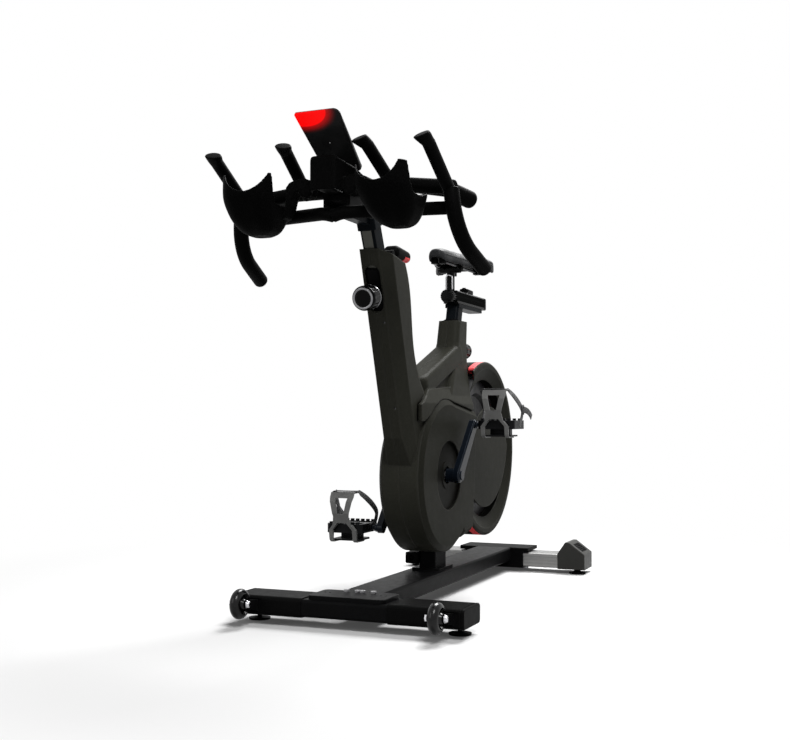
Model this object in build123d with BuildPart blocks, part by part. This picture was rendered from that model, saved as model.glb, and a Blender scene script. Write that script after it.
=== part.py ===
from build123d import *
import math
import os

os.makedirs("parts", exist_ok=True)

# An indoor training cycle. +Z is up, the rider looks towards -Y, +X is on the rider's left.
# The origin is on the floor, at the middle of the machine's overall length and width.

# ---- driving dimensions, mm and degrees ----

FIT = 0.05            # radial play of a shaft in its bore
SLIDE = 0.3           # play round a sliding section
SEAM = 0.2            # play of a moulded cap over the tube that carries it
WALL = 3.0            # moulded shell thickness

# drive train
CRANK_Y, CRANK_Z = 25.0, 305.0
CRANK_LENGTH = 170.0
CRANK_ANGLE = 47.5            # left crank arm above the horizontal, pointing rearward
FLYWHEEL_Y, FLYWHEEL_Z = 350.0, 364.0
JACK_Y, JACK_Z = 155.0, 290.0
SPINDLE_R = 10.0
JACK_R = 8.0
AXLE_R = 8.0
CRANK_PULLEY_R = 92.0
JACK_SMALL_R = 24.0
JACK_LARGE_R = 62.0
FLYWHEEL_PULLEY_R = 24.0
PULLEY_X0, PULLEY_X1 = 27.0, 40.0
BELT_THICKNESS = 3.0
FLYWHEEL_R = 190.0
FLYWHEEL_HALF = 15.0
PLATE_X0, PLATE_X1 = 19.0, 24.0

# covers
CORE_HALF = 46.0              # half width of the drive body
HUMP_R = 190.0
COVER_HEIGHT = 11.0           # how far a side cover stands off the drive body
REAR_R = 238.0                # outline of the flywheel housing
STRIPE_X = 28.0               # inner edge of the coloured stripe
DISH_X = 51.0                 # face of the flywheel cover
WINDOW_R = 188.0
LIP_R = 220.0
RECESS_R = 86.0
RECESS_FLOOR = 38.0
# offset from the flywheel axis and radius of the circle that bounds each window inside
WINDOW_SHIFTS = ((-18.0, 36.0, 196.0), (12.0, -62.0, 176.0))

# upright and its post
UPRIGHT_HALF = 40.0
POST_LEAN = 24.5
POST_Y, POST_Z = -298.0, 800.0        # a point on the post's centre line
POST_WIDTH, POST_DEPTH, POST_CORNER = 34.0, 48.0, 5.0
POST_TOP, POST_BOTTOM = 82.0, -250.0  # along the centre line, from that point

# seat mast
SEAT_LEAN = 16.0
SEAT_Y, SEAT_Z = 230.0, 759.5
SEAT_WIDTH, SEAT_DEPTH, SEAT_CORNER = 34.0, 44.0, 8.0
SEAT_TOP, SEAT_BOTTOM = -10.0, -296.0

# base
BEAM_HALF, BEAM_BOTTOM, BEAM_TOP = 52.0, 30.0, 69.0
FRONT_FOOT_Y, FRONT_FOOT_DEPTH, FRONT_FOOT_HEIGHT = -420.5, 101.0, 38.0
FRONT_FOOT_Z = 42.0
FOOT_HALF = 269.0
END_WALL = 7.0
SLEEVE_START = 100.0
REAR_FOOT_Y, REAR_FOOT_DEPTH, REAR_FOOT_HEIGHT = 606.5, 87.0, 40.0
REAR_FOOT_Z = 35.0
WHEEL_X, WHEEL_Y, WHEEL_Z, WHEEL_R, WHEEL_HALF = 225.0, -512.0, 50.0, 32.5, 13.0
BOLT_R = 4.0
STEM_R = 5.0
PAD_R = 24.0
FRONT_PAD_X, REAR_PAD_X = 237.0, 243.0
# each pad's stem goes up through its foot, this far behind or ahead of the foot's middle
FRONT_PAD_SHIFT, REAR_PAD_SHIFT = 15.5, -23.5
FRONT_PAD_Y = FRONT_FOOT_Y + FRONT_PAD_SHIFT
REAR_PAD_Y = REAR_FOOT_Y + REAR_PAD_SHIFT

# handlebar
BAR_R = 16.0
GRIP_R = 19.0
LOWER_BAR_R = 14.0

# pedals
PEDAL_X0, PEDAL_X1 = 108.0, 204.0
PEDAL_DEPTH = 100.0
PEDAL_AXLE_R = 6.0
ARM_X0, ARM_X1 = 72.0, 88.0


def finish(part, name):
    """Labels a finished piece and writes it."""
    part.label = name
    export_step(part, f"parts/{name}.step")


def leaning_plane(y, z, lean, distance):
    """Plane across a leaning tube: its normal points up the tube, its local x is the object's X."""
    tilt = math.radians(lean)
    up = (0, math.sin(tilt), math.cos(tilt))
    origin = (0, y + distance * up[1], z + distance * up[2])
    return Plane(origin=origin, x_dir=(1, 0, 0), z_dir=up)


def post_plane(distance):
    return leaning_plane(POST_Y, POST_Z, -POST_LEAN, distance)


def seat_plane(distance):
    return leaning_plane(SEAT_Y, SEAT_Z, SEAT_LEAN, distance)


def side(x):
    """Plane facing +X at x: its local axes are Y and Z."""
    return Plane.YZ.offset(x)


def front(y):
    """Plane facing -Y at y: its local axes are X and Z."""
    return Plane.XZ.offset(-y)


def level(z):
    return Plane.XY.offset(z)


def disc(x0, x1, y, z, radius, mode=Mode.ADD):
    """Cylinder along X from x0 to x1."""
    with BuildSketch(side(x0)) as round_face:
        with Locations((y, z)):
            Circle(radius)
    extrude(round_face.sketch, amount=x1 - x0, mode=mode)


def pin(x, y, z0, z1, radius, mode=Mode.ADD):
    """Cylinder along Z from z0 to z1."""
    with BuildSketch(level(z0)) as round_face:
        with Locations((x, y)):
            Circle(radius)
    extrude(round_face.sketch, amount=z1 - z0, mode=mode)


def block(x0, x1, y0, y1, z0, z1, mode=Mode.ADD):
    """Box between two corners."""
    with BuildSketch(level(z0)) as plan:
        with Locations(((x0 + x1) / 2, (y0 + y1) / 2)):
            Rectangle(x1 - x0, y1 - y0)
    extrude(plan.sketch, amount=z1 - z0, mode=mode)


def hexagon(x, y, z0, z1, across, mode=Mode.ADD):
    with BuildSketch(level(z0)) as plan:
        with Locations((x, y)):
            RegularPolygon(across / 2, 6, major_radius=False)
    extrude(plan.sketch, amount=z1 - z0, mode=mode)


def outline_prism(points, x0, x1, mode=Mode.ADD):
    """Straight-sided outline in Y and Z, extruded from x0 to x1."""
    with BuildSketch(side(x0)) as face:
        with BuildLine():
            Polyline(*points, close=True)
        make_face()
    extrude(face.sketch, amount=x1 - x0, mode=mode)


# ---- base: beam and front foot ----

foot_front = FRONT_FOOT_Y - FRONT_FOOT_DEPTH / 2
foot_back = FRONT_FOOT_Y + FRONT_FOOT_DEPTH / 2
foot_bottom = FRONT_FOOT_Z - FRONT_FOOT_HEIGHT / 2
foot_top = FRONT_FOOT_Z + FRONT_FOOT_HEIGHT / 2
tube_half = FOOT_HALF - END_WALL
TUBE_WALL = 4.0
CAP_WALL = 2.0
studs_front = (40.0, 118.0)
studs_rear = (83.0, 143.0)
PLATE_HALF, PLATE_THICK = 90.0, 9.0
plate_bolts = [(x, foot_back - 15) for x in (-32, -6, 6, 32)]
plate_holes = [(sign * x, foot_back - 40) for sign in (-1, 1) for x in (60, 72)]

with BuildPart() as front_foot:
    with BuildSketch(side(-tube_half)):
        with Locations((FRONT_FOOT_Y, FRONT_FOOT_Z)):
            RectangleRounded(FRONT_FOOT_DEPTH, FRONT_FOOT_HEIGHT, 7)
            RectangleRounded(
                FRONT_FOOT_DEPTH - 2 * TUBE_WALL,
                FRONT_FOOT_HEIGHT - 2 * TUBE_WALL,
                7 - TUBE_WALL,
                mode=Mode.SUBTRACT,
            )
    extrude(amount=2 * tube_half)
    for x in (-FRONT_PAD_X, FRONT_PAD_X):
        pin(x, FRONT_PAD_Y, foot_bottom, foot_bottom + TUBE_WALL, STEM_R + FIT, Mode.SUBTRACT)
    for x, y in plate_bolts:
        pin(x, y, foot_top - TUBE_WALL, foot_top, BOLT_R + FIT, Mode.SUBTRACT)
    for x in studs_front:
        for sign in (-1, 1):
            pin(sign * x, FRONT_FOOT_Y, foot_bottom, foot_bottom + TUBE_WALL, BOLT_R + FIT, Mode.SUBTRACT)
finish(front_foot.part, "front_foot")

front_caps, rear_caps, crank_arms = [], [], []
for sign in (1, -1):
    with BuildPart() as front_foot_cap:
        start = SLEEVE_START if sign > 0 else -FOOT_HALF
        with BuildSketch(side(start)):
            with Locations((FRONT_FOOT_Y, FRONT_FOOT_Z)):
                RectangleRounded(FRONT_FOOT_DEPTH + 2 * CAP_WALL, FRONT_FOOT_HEIGHT + 2 * CAP_WALL, 9)
        extrude(amount=FOOT_HALF - SLEEVE_START)
        outer_rim = front_foot_cap.faces().sort_by(Axis.X)[-1 if sign > 0 else 0]
        fillet(outer_rim.edges(), 3)
        # sunken line round the end cap
        groove_x = sign * (FOOT_HALF - END_WALL - 1)
        with BuildSketch(side(groove_x)):
            with Locations((FRONT_FOOT_Y, FRONT_FOOT_Z)):
                Rectangle(FRONT_FOOT_DEPTH + 20, FRONT_FOOT_HEIGHT + 20)
                RectangleRounded(
                    FRONT_FOOT_DEPTH + 2 * CAP_WALL - 1.6,
                    FRONT_FOOT_HEIGHT + 2 * CAP_WALL - 1.6,
                    8.2,
                    mode=Mode.SUBTRACT,
                )
        extrude(amount=1.2, both=True, mode=Mode.SUBTRACT)
        start = SLEEVE_START if sign > 0 else -tube_half - SEAM
        with BuildSketch(side(start)):
            with Locations((FRONT_FOOT_Y, FRONT_FOOT_Z)):
                RectangleRounded(FRONT_FOOT_DEPTH + 2 * SEAM, FRONT_FOOT_HEIGHT + 2 * SEAM, 7 + SEAM)
        extrude(amount=tube_half + SEAM - SLEEVE_START, mode=Mode.SUBTRACT)
        # window for the wheel fork
        window_y = foot_front - CAP_WALL - 1
        block(
            sign * WHEEL_X - 30, sign * WHEEL_X + 30, window_y, window_y + CAP_WALL + 2,
            FRONT_FOOT_Z - 13, FRONT_FOOT_Z + 15, Mode.SUBTRACT,
        )
        pin(sign * FRONT_PAD_X, FRONT_PAD_Y, 15, foot_bottom + 1, STEM_R + 1, Mode.SUBTRACT)
        pin(sign * studs_front[1], FRONT_FOOT_Y, 15, foot_bottom + 1, BOLT_R + FIT, Mode.SUBTRACT)
    front_caps.append(front_foot_cap.part)

with BuildPart() as front_foot_caps:
    add(front_caps)
finish(front_foot_caps.part, "front_foot_caps")

beam_start, beam_end = foot_back, REAR_FOOT_Y - REAR_FOOT_DEPTH / 2 - 6
with BuildPart() as base_beam:
    with BuildSketch(front(beam_end)):
        with Locations((0, (BEAM_BOTTOM + BEAM_TOP) / 2)):
            RectangleRounded(2 * BEAM_HALF, BEAM_TOP - BEAM_BOTTOM, 6)
            RectangleRounded(2 * BEAM_HALF - 7, BEAM_TOP - BEAM_BOTTOM - 7, 2.5, mode=Mode.SUBTRACT)
    extrude(amount=beam_end - beam_start)
with BuildPart() as front_joint_plate:
    with BuildSketch(level(foot_top)):
        with Locations((0, foot_back - 47.5)):
            RectangleRounded(2 * PLATE_HALF, 95, 14)
        with Locations((0, foot_back - 10)):
            Rectangle(2 * PLATE_HALF - 40, 20)
        with Locations(*plate_bolts):
            Circle(BOLT_R + FIT, mode=Mode.SUBTRACT)
        with Locations(*plate_holes):
            Circle(3, mode=Mode.SUBTRACT)
    extrude(amount=PLATE_THICK)
    top_edges = front_joint_plate.faces().sort_by(Axis.Z)[-1].outer_wire().edges()
    chamfer(top_edges, 1.2)

plate_top = foot_top + PLATE_THICK
with BuildPart() as base_bolts:
    for x, y in plate_bolts:
        pin(x, y, foot_top - TUBE_WALL - 4, plate_top, BOLT_R)
        hexagon(x, y, plate_top, plate_top + 4.5, 12)

rear_bottom = REAR_FOOT_Z - REAR_FOOT_HEIGHT / 2
rear_top = REAR_FOOT_Z + REAR_FOOT_HEIGHT / 2
with base_bolts:
    for sign in (-1, 1):
        for x, under in zip(studs_front, (foot_bottom, foot_bottom - CAP_WALL)):
            pin(sign * x, FRONT_FOOT_Y, under, foot_bottom + TUBE_WALL + 4, BOLT_R)
            hexagon(sign * x, FRONT_FOOT_Y, under - 5, under, 13)
        for x, under in zip(studs_rear, (rear_bottom - 4, rear_bottom)):
            pin(sign * x, REAR_FOOT_Y, under, rear_bottom + TUBE_WALL + 4, BOLT_R)
            hexagon(sign * x, REAR_FOOT_Y, under - 5, under, 13)
finish(base_bolts.part, "base_bolts")

# ---- base: rear foot ----

rear_front = REAR_FOOT_Y - REAR_FOOT_DEPTH / 2
rear_back = REAR_FOOT_Y + REAR_FOOT_DEPTH / 2
RIB_PITCH, RIB_COUNT = 11.0, 6
with BuildPart() as rear_foot:
    with BuildSketch(side(-tube_half)):
        with Locations((REAR_FOOT_Y, REAR_FOOT_Z)):
            RectangleRounded(REAR_FOOT_DEPTH, REAR_FOOT_HEIGHT, 5)
            RectangleRounded(
                REAR_FOOT_DEPTH - 2 * TUBE_WALL,
                REAR_FOOT_HEIGHT - 2 * TUBE_WALL,
                2,
                mode=Mode.SUBTRACT,
            )
        with Locations((REAR_FOOT_Y, rear_top)):
            with GridLocations(RIB_PITCH, 1, RIB_COUNT, 1):
                Rectangle(3, 2.4, mode=Mode.SUBTRACT)
        with Locations((rear_front, REAR_FOOT_Z), (rear_back, REAR_FOOT_Z)):
            with GridLocations(1, 9, 1, 3):
                Rectangle(2.4, 3, mode=Mode.SUBTRACT)
    extrude(amount=2 * tube_half)
    for x in (-REAR_PAD_X, REAR_PAD_X):
        pin(x, REAR_PAD_Y, rear_bottom, rear_bottom + TUBE_WALL, STEM_R + FIT, Mode.SUBTRACT)
    for x in studs_rear:
        for sign in (-1, 1):
            pin(sign * x, REAR_FOOT_Y, rear_bottom, rear_bottom + TUBE_WALL, BOLT_R + FIT, Mode.SUBTRACT)
finish(rear_foot.part, "rear_foot")

SLEEVE_HALF, SLAB_HALF = 88.0, 104.0
with BuildPart() as rear_joint_sleeve:
    sleeve_front = beam_end
    sleeve_back = rear_back + 4
    block(-SLEEVE_HALF, SLEEVE_HALF, sleeve_front, sleeve_back, rear_bottom - 4, rear_top + 4)
    block(-SLAB_HALF, SLAB_HALF, sleeve_front, sleeve_back, rear_top + 4, BEAM_TOP)
    edges_along_x = rear_joint_sleeve.edges().filter_by(Axis.X).group_by(Axis.Z)
    fillet(edges_along_x[-1] + edges_along_x[0], 4)
    with BuildSketch(side(-SLAB_HALF)):
        with Locations((REAR_FOOT_Y, REAR_FOOT_Z)):
            RectangleRounded(REAR_FOOT_DEPTH + 2 * SEAM, REAR_FOOT_HEIGHT + 2 * SEAM, 5 + SEAM)
    extrude(amount=2 * SLAB_HALF, mode=Mode.SUBTRACT)
    for sign in (-1, 1):
        pin(sign * studs_rear[0], REAR_FOOT_Y, rear_bottom - 6, rear_bottom, BOLT_R + FIT, Mode.SUBTRACT)
finish(rear_joint_sleeve.part, "rear_joint_sleeve")

WEDGE_START, WEDGE_PEAK0, WEDGE_PEAK1, WEDGE_TOP, WEDGE_LOW = 190.0, 213.0, 224.0, 90.0, 57.0
GRIP_DEPTH, GRIP_LENGTH, GRIP_WIDTH = 3.0, 34.0, 62.0
slope_length = math.hypot(FOOT_HALF - WEDGE_PEAK1, WEDGE_TOP - WEDGE_LOW)
slope_angle = math.degrees(math.atan2(WEDGE_TOP - WEDGE_LOW, FOOT_HALF - WEDGE_PEAK1))


def slope_plane(sign):
    """Plane on the outward slope of a rear end block, at its middle."""
    middle = ((WEDGE_PEAK1 + FOOT_HALF) / 2 * sign, REAR_FOOT_Y, (WEDGE_TOP + WEDGE_LOW) / 2)
    run = math.radians(slope_angle)
    normal = (math.sin(run) * sign, 0, math.cos(run))
    return Plane(origin=middle, x_dir=(0, 1, 0), z_dir=normal)


with BuildPart() as rear_foot_grips:
    for sign in (-1, 1):
        with BuildSketch(slope_plane(sign).offset(-GRIP_DEPTH)) as grip_face:
            RectangleRounded(GRIP_WIDTH - 2 * SEAM, GRIP_LENGTH - 2 * SEAM, 6)
            with GridLocations(0, 6, 1, 5):
                SlotOverall(GRIP_WIDTH - 16, 2.4, mode=Mode.SUBTRACT)
        extrude(grip_face.sketch, amount=GRIP_DEPTH - 0.6)
finish(rear_foot_grips.part, "rear_foot_grips")

for sign in (1, -1):
    with BuildPart() as rear_foot_cap:
        cap_low = rear_bottom - CAP_WALL
        with BuildSketch(front(rear_back + CAP_WALL + 1)):
            with BuildLine():
                Polyline(
                    (sign * WEDGE_START, cap_low),
                    (sign * FOOT_HALF, cap_low),
                    (sign * FOOT_HALF, WEDGE_LOW),
                    (sign * WEDGE_PEAK1, WEDGE_TOP),
                    (sign * WEDGE_PEAK0, WEDGE_TOP),
                    (sign * WEDGE_START, WEDGE_LOW),
                    close=True,
                )
            make_face()
        extrude(amount=REAR_FOOT_DEPTH + 2 * CAP_WALL + 2)
        along_y = rear_foot_cap.edges().filter_by(Axis.Y)
        fillet(along_y.sort_by(Axis.Z)[-2:], 5)
        fillet(rear_foot_cap.faces().sort_by(Axis.Y)[0].edges(), 2.5)
        with BuildSketch(side(0)):
            with Locations((REAR_FOOT_Y, REAR_FOOT_Z)):
                RectangleRounded(REAR_FOOT_DEPTH + 2 * SEAM, REAR_FOOT_HEIGHT + 2 * SEAM, 5 + SEAM)
        extrude(amount=sign * (tube_half + SEAM), mode=Mode.SUBTRACT)
        with BuildSketch(slope_plane(sign).offset(-GRIP_DEPTH)):
            RectangleRounded(GRIP_WIDTH, GRIP_LENGTH, 6)
        extrude(amount=GRIP_DEPTH + 5, mode=Mode.SUBTRACT)
        pin(sign * REAR_PAD_X, REAR_PAD_Y, 5, rear_bottom + 1, STEM_R + 1, Mode.SUBTRACT)
    rear_caps.append(rear_foot_cap.part)

with BuildPart() as rear_foot_caps:
    add(rear_caps)
finish(rear_foot_caps.part, "rear_foot_caps")

# ---- base: feet and transport wheels ----

foot_places = {
    "front_left": (FRONT_PAD_X, FRONT_PAD_Y, foot_bottom - CAP_WALL),
    "front_right": (-FRONT_PAD_X, FRONT_PAD_Y, foot_bottom - CAP_WALL),
    "rear_left": (REAR_PAD_X, REAR_PAD_Y, rear_bottom - CAP_WALL),
    "rear_right": (-REAR_PAD_X, REAR_PAD_Y, rear_bottom - CAP_WALL),
}
PAD_HEIGHT, STEM_TOP = 7.0, 22.0
for name, (x, y, under) in foot_places.items():
    with BuildPart() as levelling_foot:
        with BuildSketch(Plane(origin=(x, y, 0), x_dir=(1, 0, 0), z_dir=(0, -1, 0))):
            with BuildLine():
                Polyline(
                    (0, 0), (PAD_R - 1.5, 0), (PAD_R, 1.5), (PAD_R, 4.5),
                    (STEM_R + 3, PAD_HEIGHT), (STEM_R, PAD_HEIGHT),
                    (STEM_R, under + STEM_TOP - 1.5), (STEM_R - 1.5, under + STEM_TOP),
                    (0, under + STEM_TOP), close=True,
                )
            make_face()
        revolve(axis=Axis((x, y, 0), (0, 0, 1)))
        hexagon(x, y, under - SLIDE - 5, under - SLIDE, 17)
    finish(levelling_foot.part, f"levelling_foot_{name}")

EAR_X0, EAR_X1 = WHEEL_HALF + 1.5, WHEEL_HALF + 5.5
fork_face = foot_front
with BuildPart() as wheel_forks:
    for sign in (-1, 1):
        centre = sign * WHEEL_X
        block(centre - 22, centre + 22, fork_face - 4, fork_face, FRONT_FOOT_Z - 11, FRONT_FOOT_Z + 13)
        for ear in (-1, 1):
            x0 = centre + ear * EAR_X0
            with BuildSketch(side(min(x0, x0 + ear * 4))) as ear_face:
                with BuildLine():
                    Polyline(
                        (fork_face - 4, FRONT_FOOT_Z - 10),
                        (WHEEL_Y, WHEEL_Z - 9),
                        (WHEEL_Y, WHEEL_Z + 9),
                        (fork_face - 4, FRONT_FOOT_Z + 13),
                        close=True,
                    )
                make_face()
                with Locations((WHEEL_Y, WHEEL_Z)):
                    Circle(9)
                    Circle(BOLT_R + FIT, mode=Mode.SUBTRACT)
            extrude(ear_face.sketch, amount=4)
finish(wheel_forks.part, "wheel_forks")

with BuildPart() as wheel_bolts:
    for sign in (-1, 1):
        centre = sign * WHEEL_X
        disc(centre - EAR_X1 - 3, centre + EAR_X1 + 1, WHEEL_Y, WHEEL_Z, BOLT_R)
        with BuildSketch(side(centre - EAR_X1 - 5)) as nut:
            with Locations((WHEEL_Y, WHEEL_Z)):
                RegularPolygon(6.5, 6, major_radius=False)
        extrude(nut.sketch, amount=5)
        disc(centre + EAR_X1, centre + EAR_X1 + 1.2, WHEEL_Y, WHEEL_Z, 9)
        with BuildPart(mode=Mode.PRIVATE) as dome:
            disc(centre + EAR_X1 + 0.5, centre + EAR_X1 + 6.5, WHEEL_Y, WHEEL_Z, 7.5)
            fillet(dome.faces().sort_by(Axis.X)[-1].edges(), 4.5)
        add(dome.part)
finish(wheel_bolts.part, "wheel_bolts")

for name, sign in (("left", 1), ("right", -1)):
    centre = sign * WHEEL_X
    hub_half = EAR_X0 - SLIDE
    with BuildPart() as transport_wheel:
        with BuildSketch(Plane(origin=(centre, WHEEL_Y, WHEEL_Z), x_dir=(1, 0, 0), z_dir=(0, -1, 0))):
            with BuildLine():
                Polyline(
                    (-WHEEL_HALF + 1, WHEEL_R - 11), (-6, WHEEL_R - 14), (-6, 14), (-hub_half, 10),
                    (-hub_half, BOLT_R + FIT), (hub_half, BOLT_R + FIT), (hub_half, 10), (6, 14),
                    (6, WHEEL_R - 14), (WHEEL_HALF - 1, WHEEL_R - 11),
                )
                ThreePointArc(
                    (WHEEL_HALF - 1, WHEEL_R - 11), (0, WHEEL_R), (-WHEEL_HALF + 1, WHEEL_R - 11),
                )
            make_face()
        revolve(axis=Axis((centre, WHEEL_Y, WHEEL_Z), (1, 0, 0)))
    finish(transport_wheel.part, f"transport_wheel_{name}")

# ---- stand post under the drive body ----

STAND_HALF, STAND_Y0, STAND_Y1 = 22.0, 15.0, 95.0
STAND_TOP = 168.0
with BuildPart() as stand_post:
    with BuildSketch(level(BEAM_TOP)):
        with Locations((0, (STAND_Y0 + STAND_Y1) / 2)):
            RectangleRounded(2 * STAND_HALF, STAND_Y1 - STAND_Y0, 5)
            RectangleRounded(2 * STAND_HALF - 8, STAND_Y1 - STAND_Y0 - 8, 1.5, mode=Mode.SUBTRACT)
    extrude(amount=STAND_TOP - BEAM_TOP)
    with BuildSketch(level(BEAM_TOP)):
        with Locations((0, (STAND_Y0 + STAND_Y1) / 2)):
            RectangleRounded(2 * STAND_HALF + 30, STAND_Y1 - STAND_Y0 + 24, 6)
            RectangleRounded(2 * STAND_HALF - 8, STAND_Y1 - STAND_Y0 - 8, 1.5, mode=Mode.SUBTRACT)
    extrude(amount=5)

with BuildPart() as base_frame:
    add(base_beam.part)
    add(front_joint_plate.part)
    add(stand_post.part)
finish(base_frame.part, "base_frame")

SOCKET_X0, SOCKET_Y0, SOCKET_Y1, SOCKET_Z0, SOCKET_Z1 = -54.0, 6.0, 55.0, 84.0, 112.0
with BuildPart() as socket_box:
    block(SOCKET_X0, -STAND_HALF, SOCKET_Y0, SOCKET_Y1, SOCKET_Z0, SOCKET_Z1)
    fillet(socket_box.edges().filter_by(Axis.Y), 4)
    with BuildSketch(front(SOCKET_Y0)):
        with Locations(((SOCKET_X0 - STAND_HALF) / 2, (SOCKET_Z0 + SOCKET_Z1) / 2)):
            Circle(7)
            Circle(3, mode=Mode.SUBTRACT)
    extrude(amount=-8, mode=Mode.SUBTRACT)
finish(socket_box.part, "socket_box")

# ---- drive body: outlines shared by the shells, covers and flywheel housing ----

VALLEY_TOP, VALLEY_BOTTOM = (252.0, 463.0), (217.0, 152.0)
hump_top = (CRANK_Y, CRANK_Z + HUMP_R)
belly = (135.0, 140.0)

def core_outline(x, inset, valley_shift):
    """Side outline of the drive body at x, drawn in by an inset, its rear edge shifted rearward."""
    with BuildSketch(side(x)) as outline:
        with Locations((CRANK_Y, CRANK_Z)):
            Circle(HUMP_R - inset)
        with BuildLine():
            Polyline(
                (CRANK_Y, CRANK_Z),
                (hump_top[0], hump_top[1] - inset),
                (VALLEY_TOP[0] + valley_shift, VALLEY_TOP[1] - 2 * inset),
                (VALLEY_BOTTOM[0] + valley_shift, VALLEY_BOTTOM[1] + 2 * inset),
                (belly[0], belly[1] + inset),
                close=True,
            )
        make_face()
    return outline.sketch


def upright(inset):
    """Leaning casing round the handlebar post, with bevelled front corners."""
    lean = math.degrees(math.atan2(341 - 203, 826 - 400))
    with BuildSketch(side(-UPRIGHT_HALF + inset)) as profile:
        with BuildLine():
            Polyline(
                (-224 - inset, 806 - inset),
                (-341 + inset, 826 - inset),
                (-203 + inset, 400),
                (-160 + inset, 330),
                (-120, 300),
                (20, 300),
                (20, 470),
                (-100, 500 - inset),
                (-112 - inset, 517 - inset),
            )
            Spline(
                (-112 - inset, 517 - inset),
                (-137 - inset, 545),
                (-171 - inset, 612),
                (-187 - inset, 707),
                (-224 - inset, 806 - inset),
            )
        make_face()
    extrude(profile.sketch, amount=2 * (UPRIGHT_HALF - inset))
    section = leaning_plane(-203, 400, -lean, -200)
    back, half, flat, bevel = 260, UPRIGHT_HALF - inset, 23 - inset / 2, 39
    with BuildSketch(section) as plan:
        with BuildLine():
            Polyline(
                (-flat, inset),
                (flat, inset),
                (half, bevel + inset),
                (half, back),
                (-half, back),
                (-half, bevel + inset),
                close=True,
            )
        make_face()
    extrude(plan.sketch, amount=760, mode=Mode.INTERSECT)


SHROUD_LEVELS = (
    # height, front, back, half width, corner radius
    (705, 172, 250, 30, 15),
    (645, 157, 242, 31, 15),
    (575, 120, 236, 35, 14),
    (505, 70, 234, 44, 10),
    (430, 40, 240, 44, 10),
)


def shroud(inset):
    """Seat collar that widens downward into the drive body."""
    sections = []
    for z, y0, y1, half, radius in SHROUD_LEVELS:
        with BuildSketch(level(z)) as section:
            with Locations((0, (y0 + y1) / 2)):
                RectangleRounded(2 * (half - inset), y1 - y0 - 2 * inset, radius - inset)
        sections.append(section.sketch)
    loft(sections, ruled=True)


TUBE_SLOPE = 20.5
TUBE_Y, TUBE_Z = 25.0, 562.0
TUBE_HALF, TUBE_HEIGHT = 35.0, 48.0
TUBE_BACK, TUBE_FRONT = 170.0, -128.0


def top_tube(inset):
    """Sloping tube with a round lower end, from the upright to the seat collar."""
    slope = math.radians(TUBE_SLOPE)
    along = (0, math.cos(slope), math.sin(slope))
    normal = (0, -math.sin(slope), math.cos(slope))
    plane = Plane(origin=(0, TUBE_Y, TUBE_Z), x_dir=along, z_dir=normal)
    half = TUBE_HALF - inset
    with BuildSketch(plane.offset(-TUBE_HEIGHT / 2 + inset)) as plan:
        with Locations(((TUBE_BACK + TUBE_FRONT + TUBE_HALF) / 2, 0)):
            Rectangle(TUBE_BACK - TUBE_FRONT - TUBE_HALF, 2 * half)
        with Locations((TUBE_FRONT + TUBE_HALF, 0)):
            Circle(half)
    with BuildPart() as tube:
        extrude(plan.sketch, amount=TUBE_HEIGHT - 2 * inset)
        fillet(tube.faces().sort_by(Axis(plane.origin, plane.z_dir))[-1].edges(), 15 - inset)
    return tube.part


DECK_OVERHANG = 6.0


def deck(inset, overhang):
    """Sloping shoulders between the upright, the top tube and the side covers."""
    with BuildSketch(side(-60)) as profile:
        with BuildLine():
            Polyline((-150, 440), (-150, 480), (-120, 492), (-71, 518 - inset), (150, 530 - inset), (225, 520),
                     (225, 440), close=True)
        make_face()
    half_top, half_low = 38 - inset, CORE_HALF + overhang - inset
    with BuildSketch(front(240)) as section:
        with BuildLine():
            Polyline((-half_top, 535), (half_top, 535), (half_top, 520), (half_low, 484), (half_low, 440),
                     (-half_low, 440), (-half_low, 484), (-half_top, 520), close=True)
        make_face()
    with BuildPart() as shoulders:
        extrude(profile.sketch, amount=120)
        extrude(section.sketch, amount=400, mode=Mode.INTERSECT)
        if overhang:
            # the overhanging edges stop on the rim of the side covers
            with BuildSketch(Plane.YZ) as above:
                with BuildLine():
                    Polyline(
                        (-160, 430), (-160, 600), (300, 600), (300, 450),
                        (VALLEY_TOP[0], VALLEY_TOP[1] + SEAM), (hump_top[0], hump_top[1] + SEAM), close=True,
                    )
                make_face()
                with Locations((CRANK_Y, CRANK_Z)):
                    Circle(HUMP_R + SEAM, mode=Mode.SUBTRACT)
            extrude(above.sketch, amount=CORE_HALF + overhang, both=True, mode=Mode.INTERSECT)
    return shoulders.part


def web(inset):
    """Narrow wall between the top tube and the shoulders."""
    with BuildSketch(side(-27 + inset)) as face:
        with BuildLine():
            Polyline((-85, 500), (-85, 516), (30, 556), (150, 600), (200, 600), (200, 500), close=True)
        make_face()
    with BuildPart() as wall:
        extrude(face.sketch, amount=54 - 2 * inset)
    return wall.part


with BuildPart() as shell_outer:
    upright(0)
    extrude(core_outline(0, 0, 0), amount=CORE_HALF, both=True)
    shroud(0)
    add(top_tube(0))
    add(deck(0, DECK_OVERHANG))
    add(web(0))

with BuildPart() as shell_inner:
    upright(WALL)
    extrude(core_outline(0, WALL, 30), amount=CORE_HALF + 1, both=True)
    shroud(WALL)
    add(top_tube(WALL))
    add(web(WALL))
    add(deck(WALL, 0))

UPRIGHT_LEAN = math.degrees(math.atan2(341 - 203, 826 - 400))
POCKET_LENGTH, POCKET_HALF, POCKET_WALL_DEPTH = 108.0, 19.0, 14.0
KNOB_Y, KNOB_Z, KNOB_DIP = -300.0, 725.0, 10.9
KNOB_STEM_R = 6.0
SEAT_KNOB_Z, SEAT_KNOB_Y = 630.0, 222.0
BUSH_WALL = 1.7
TUBE_STEEL = 4.0
FLYWHEEL_SLOT_R, FLYWHEEL_SLOT_HALF = 226.0, 27.0
screw_heights = (770.0, 664.0, 470.0)


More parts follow.
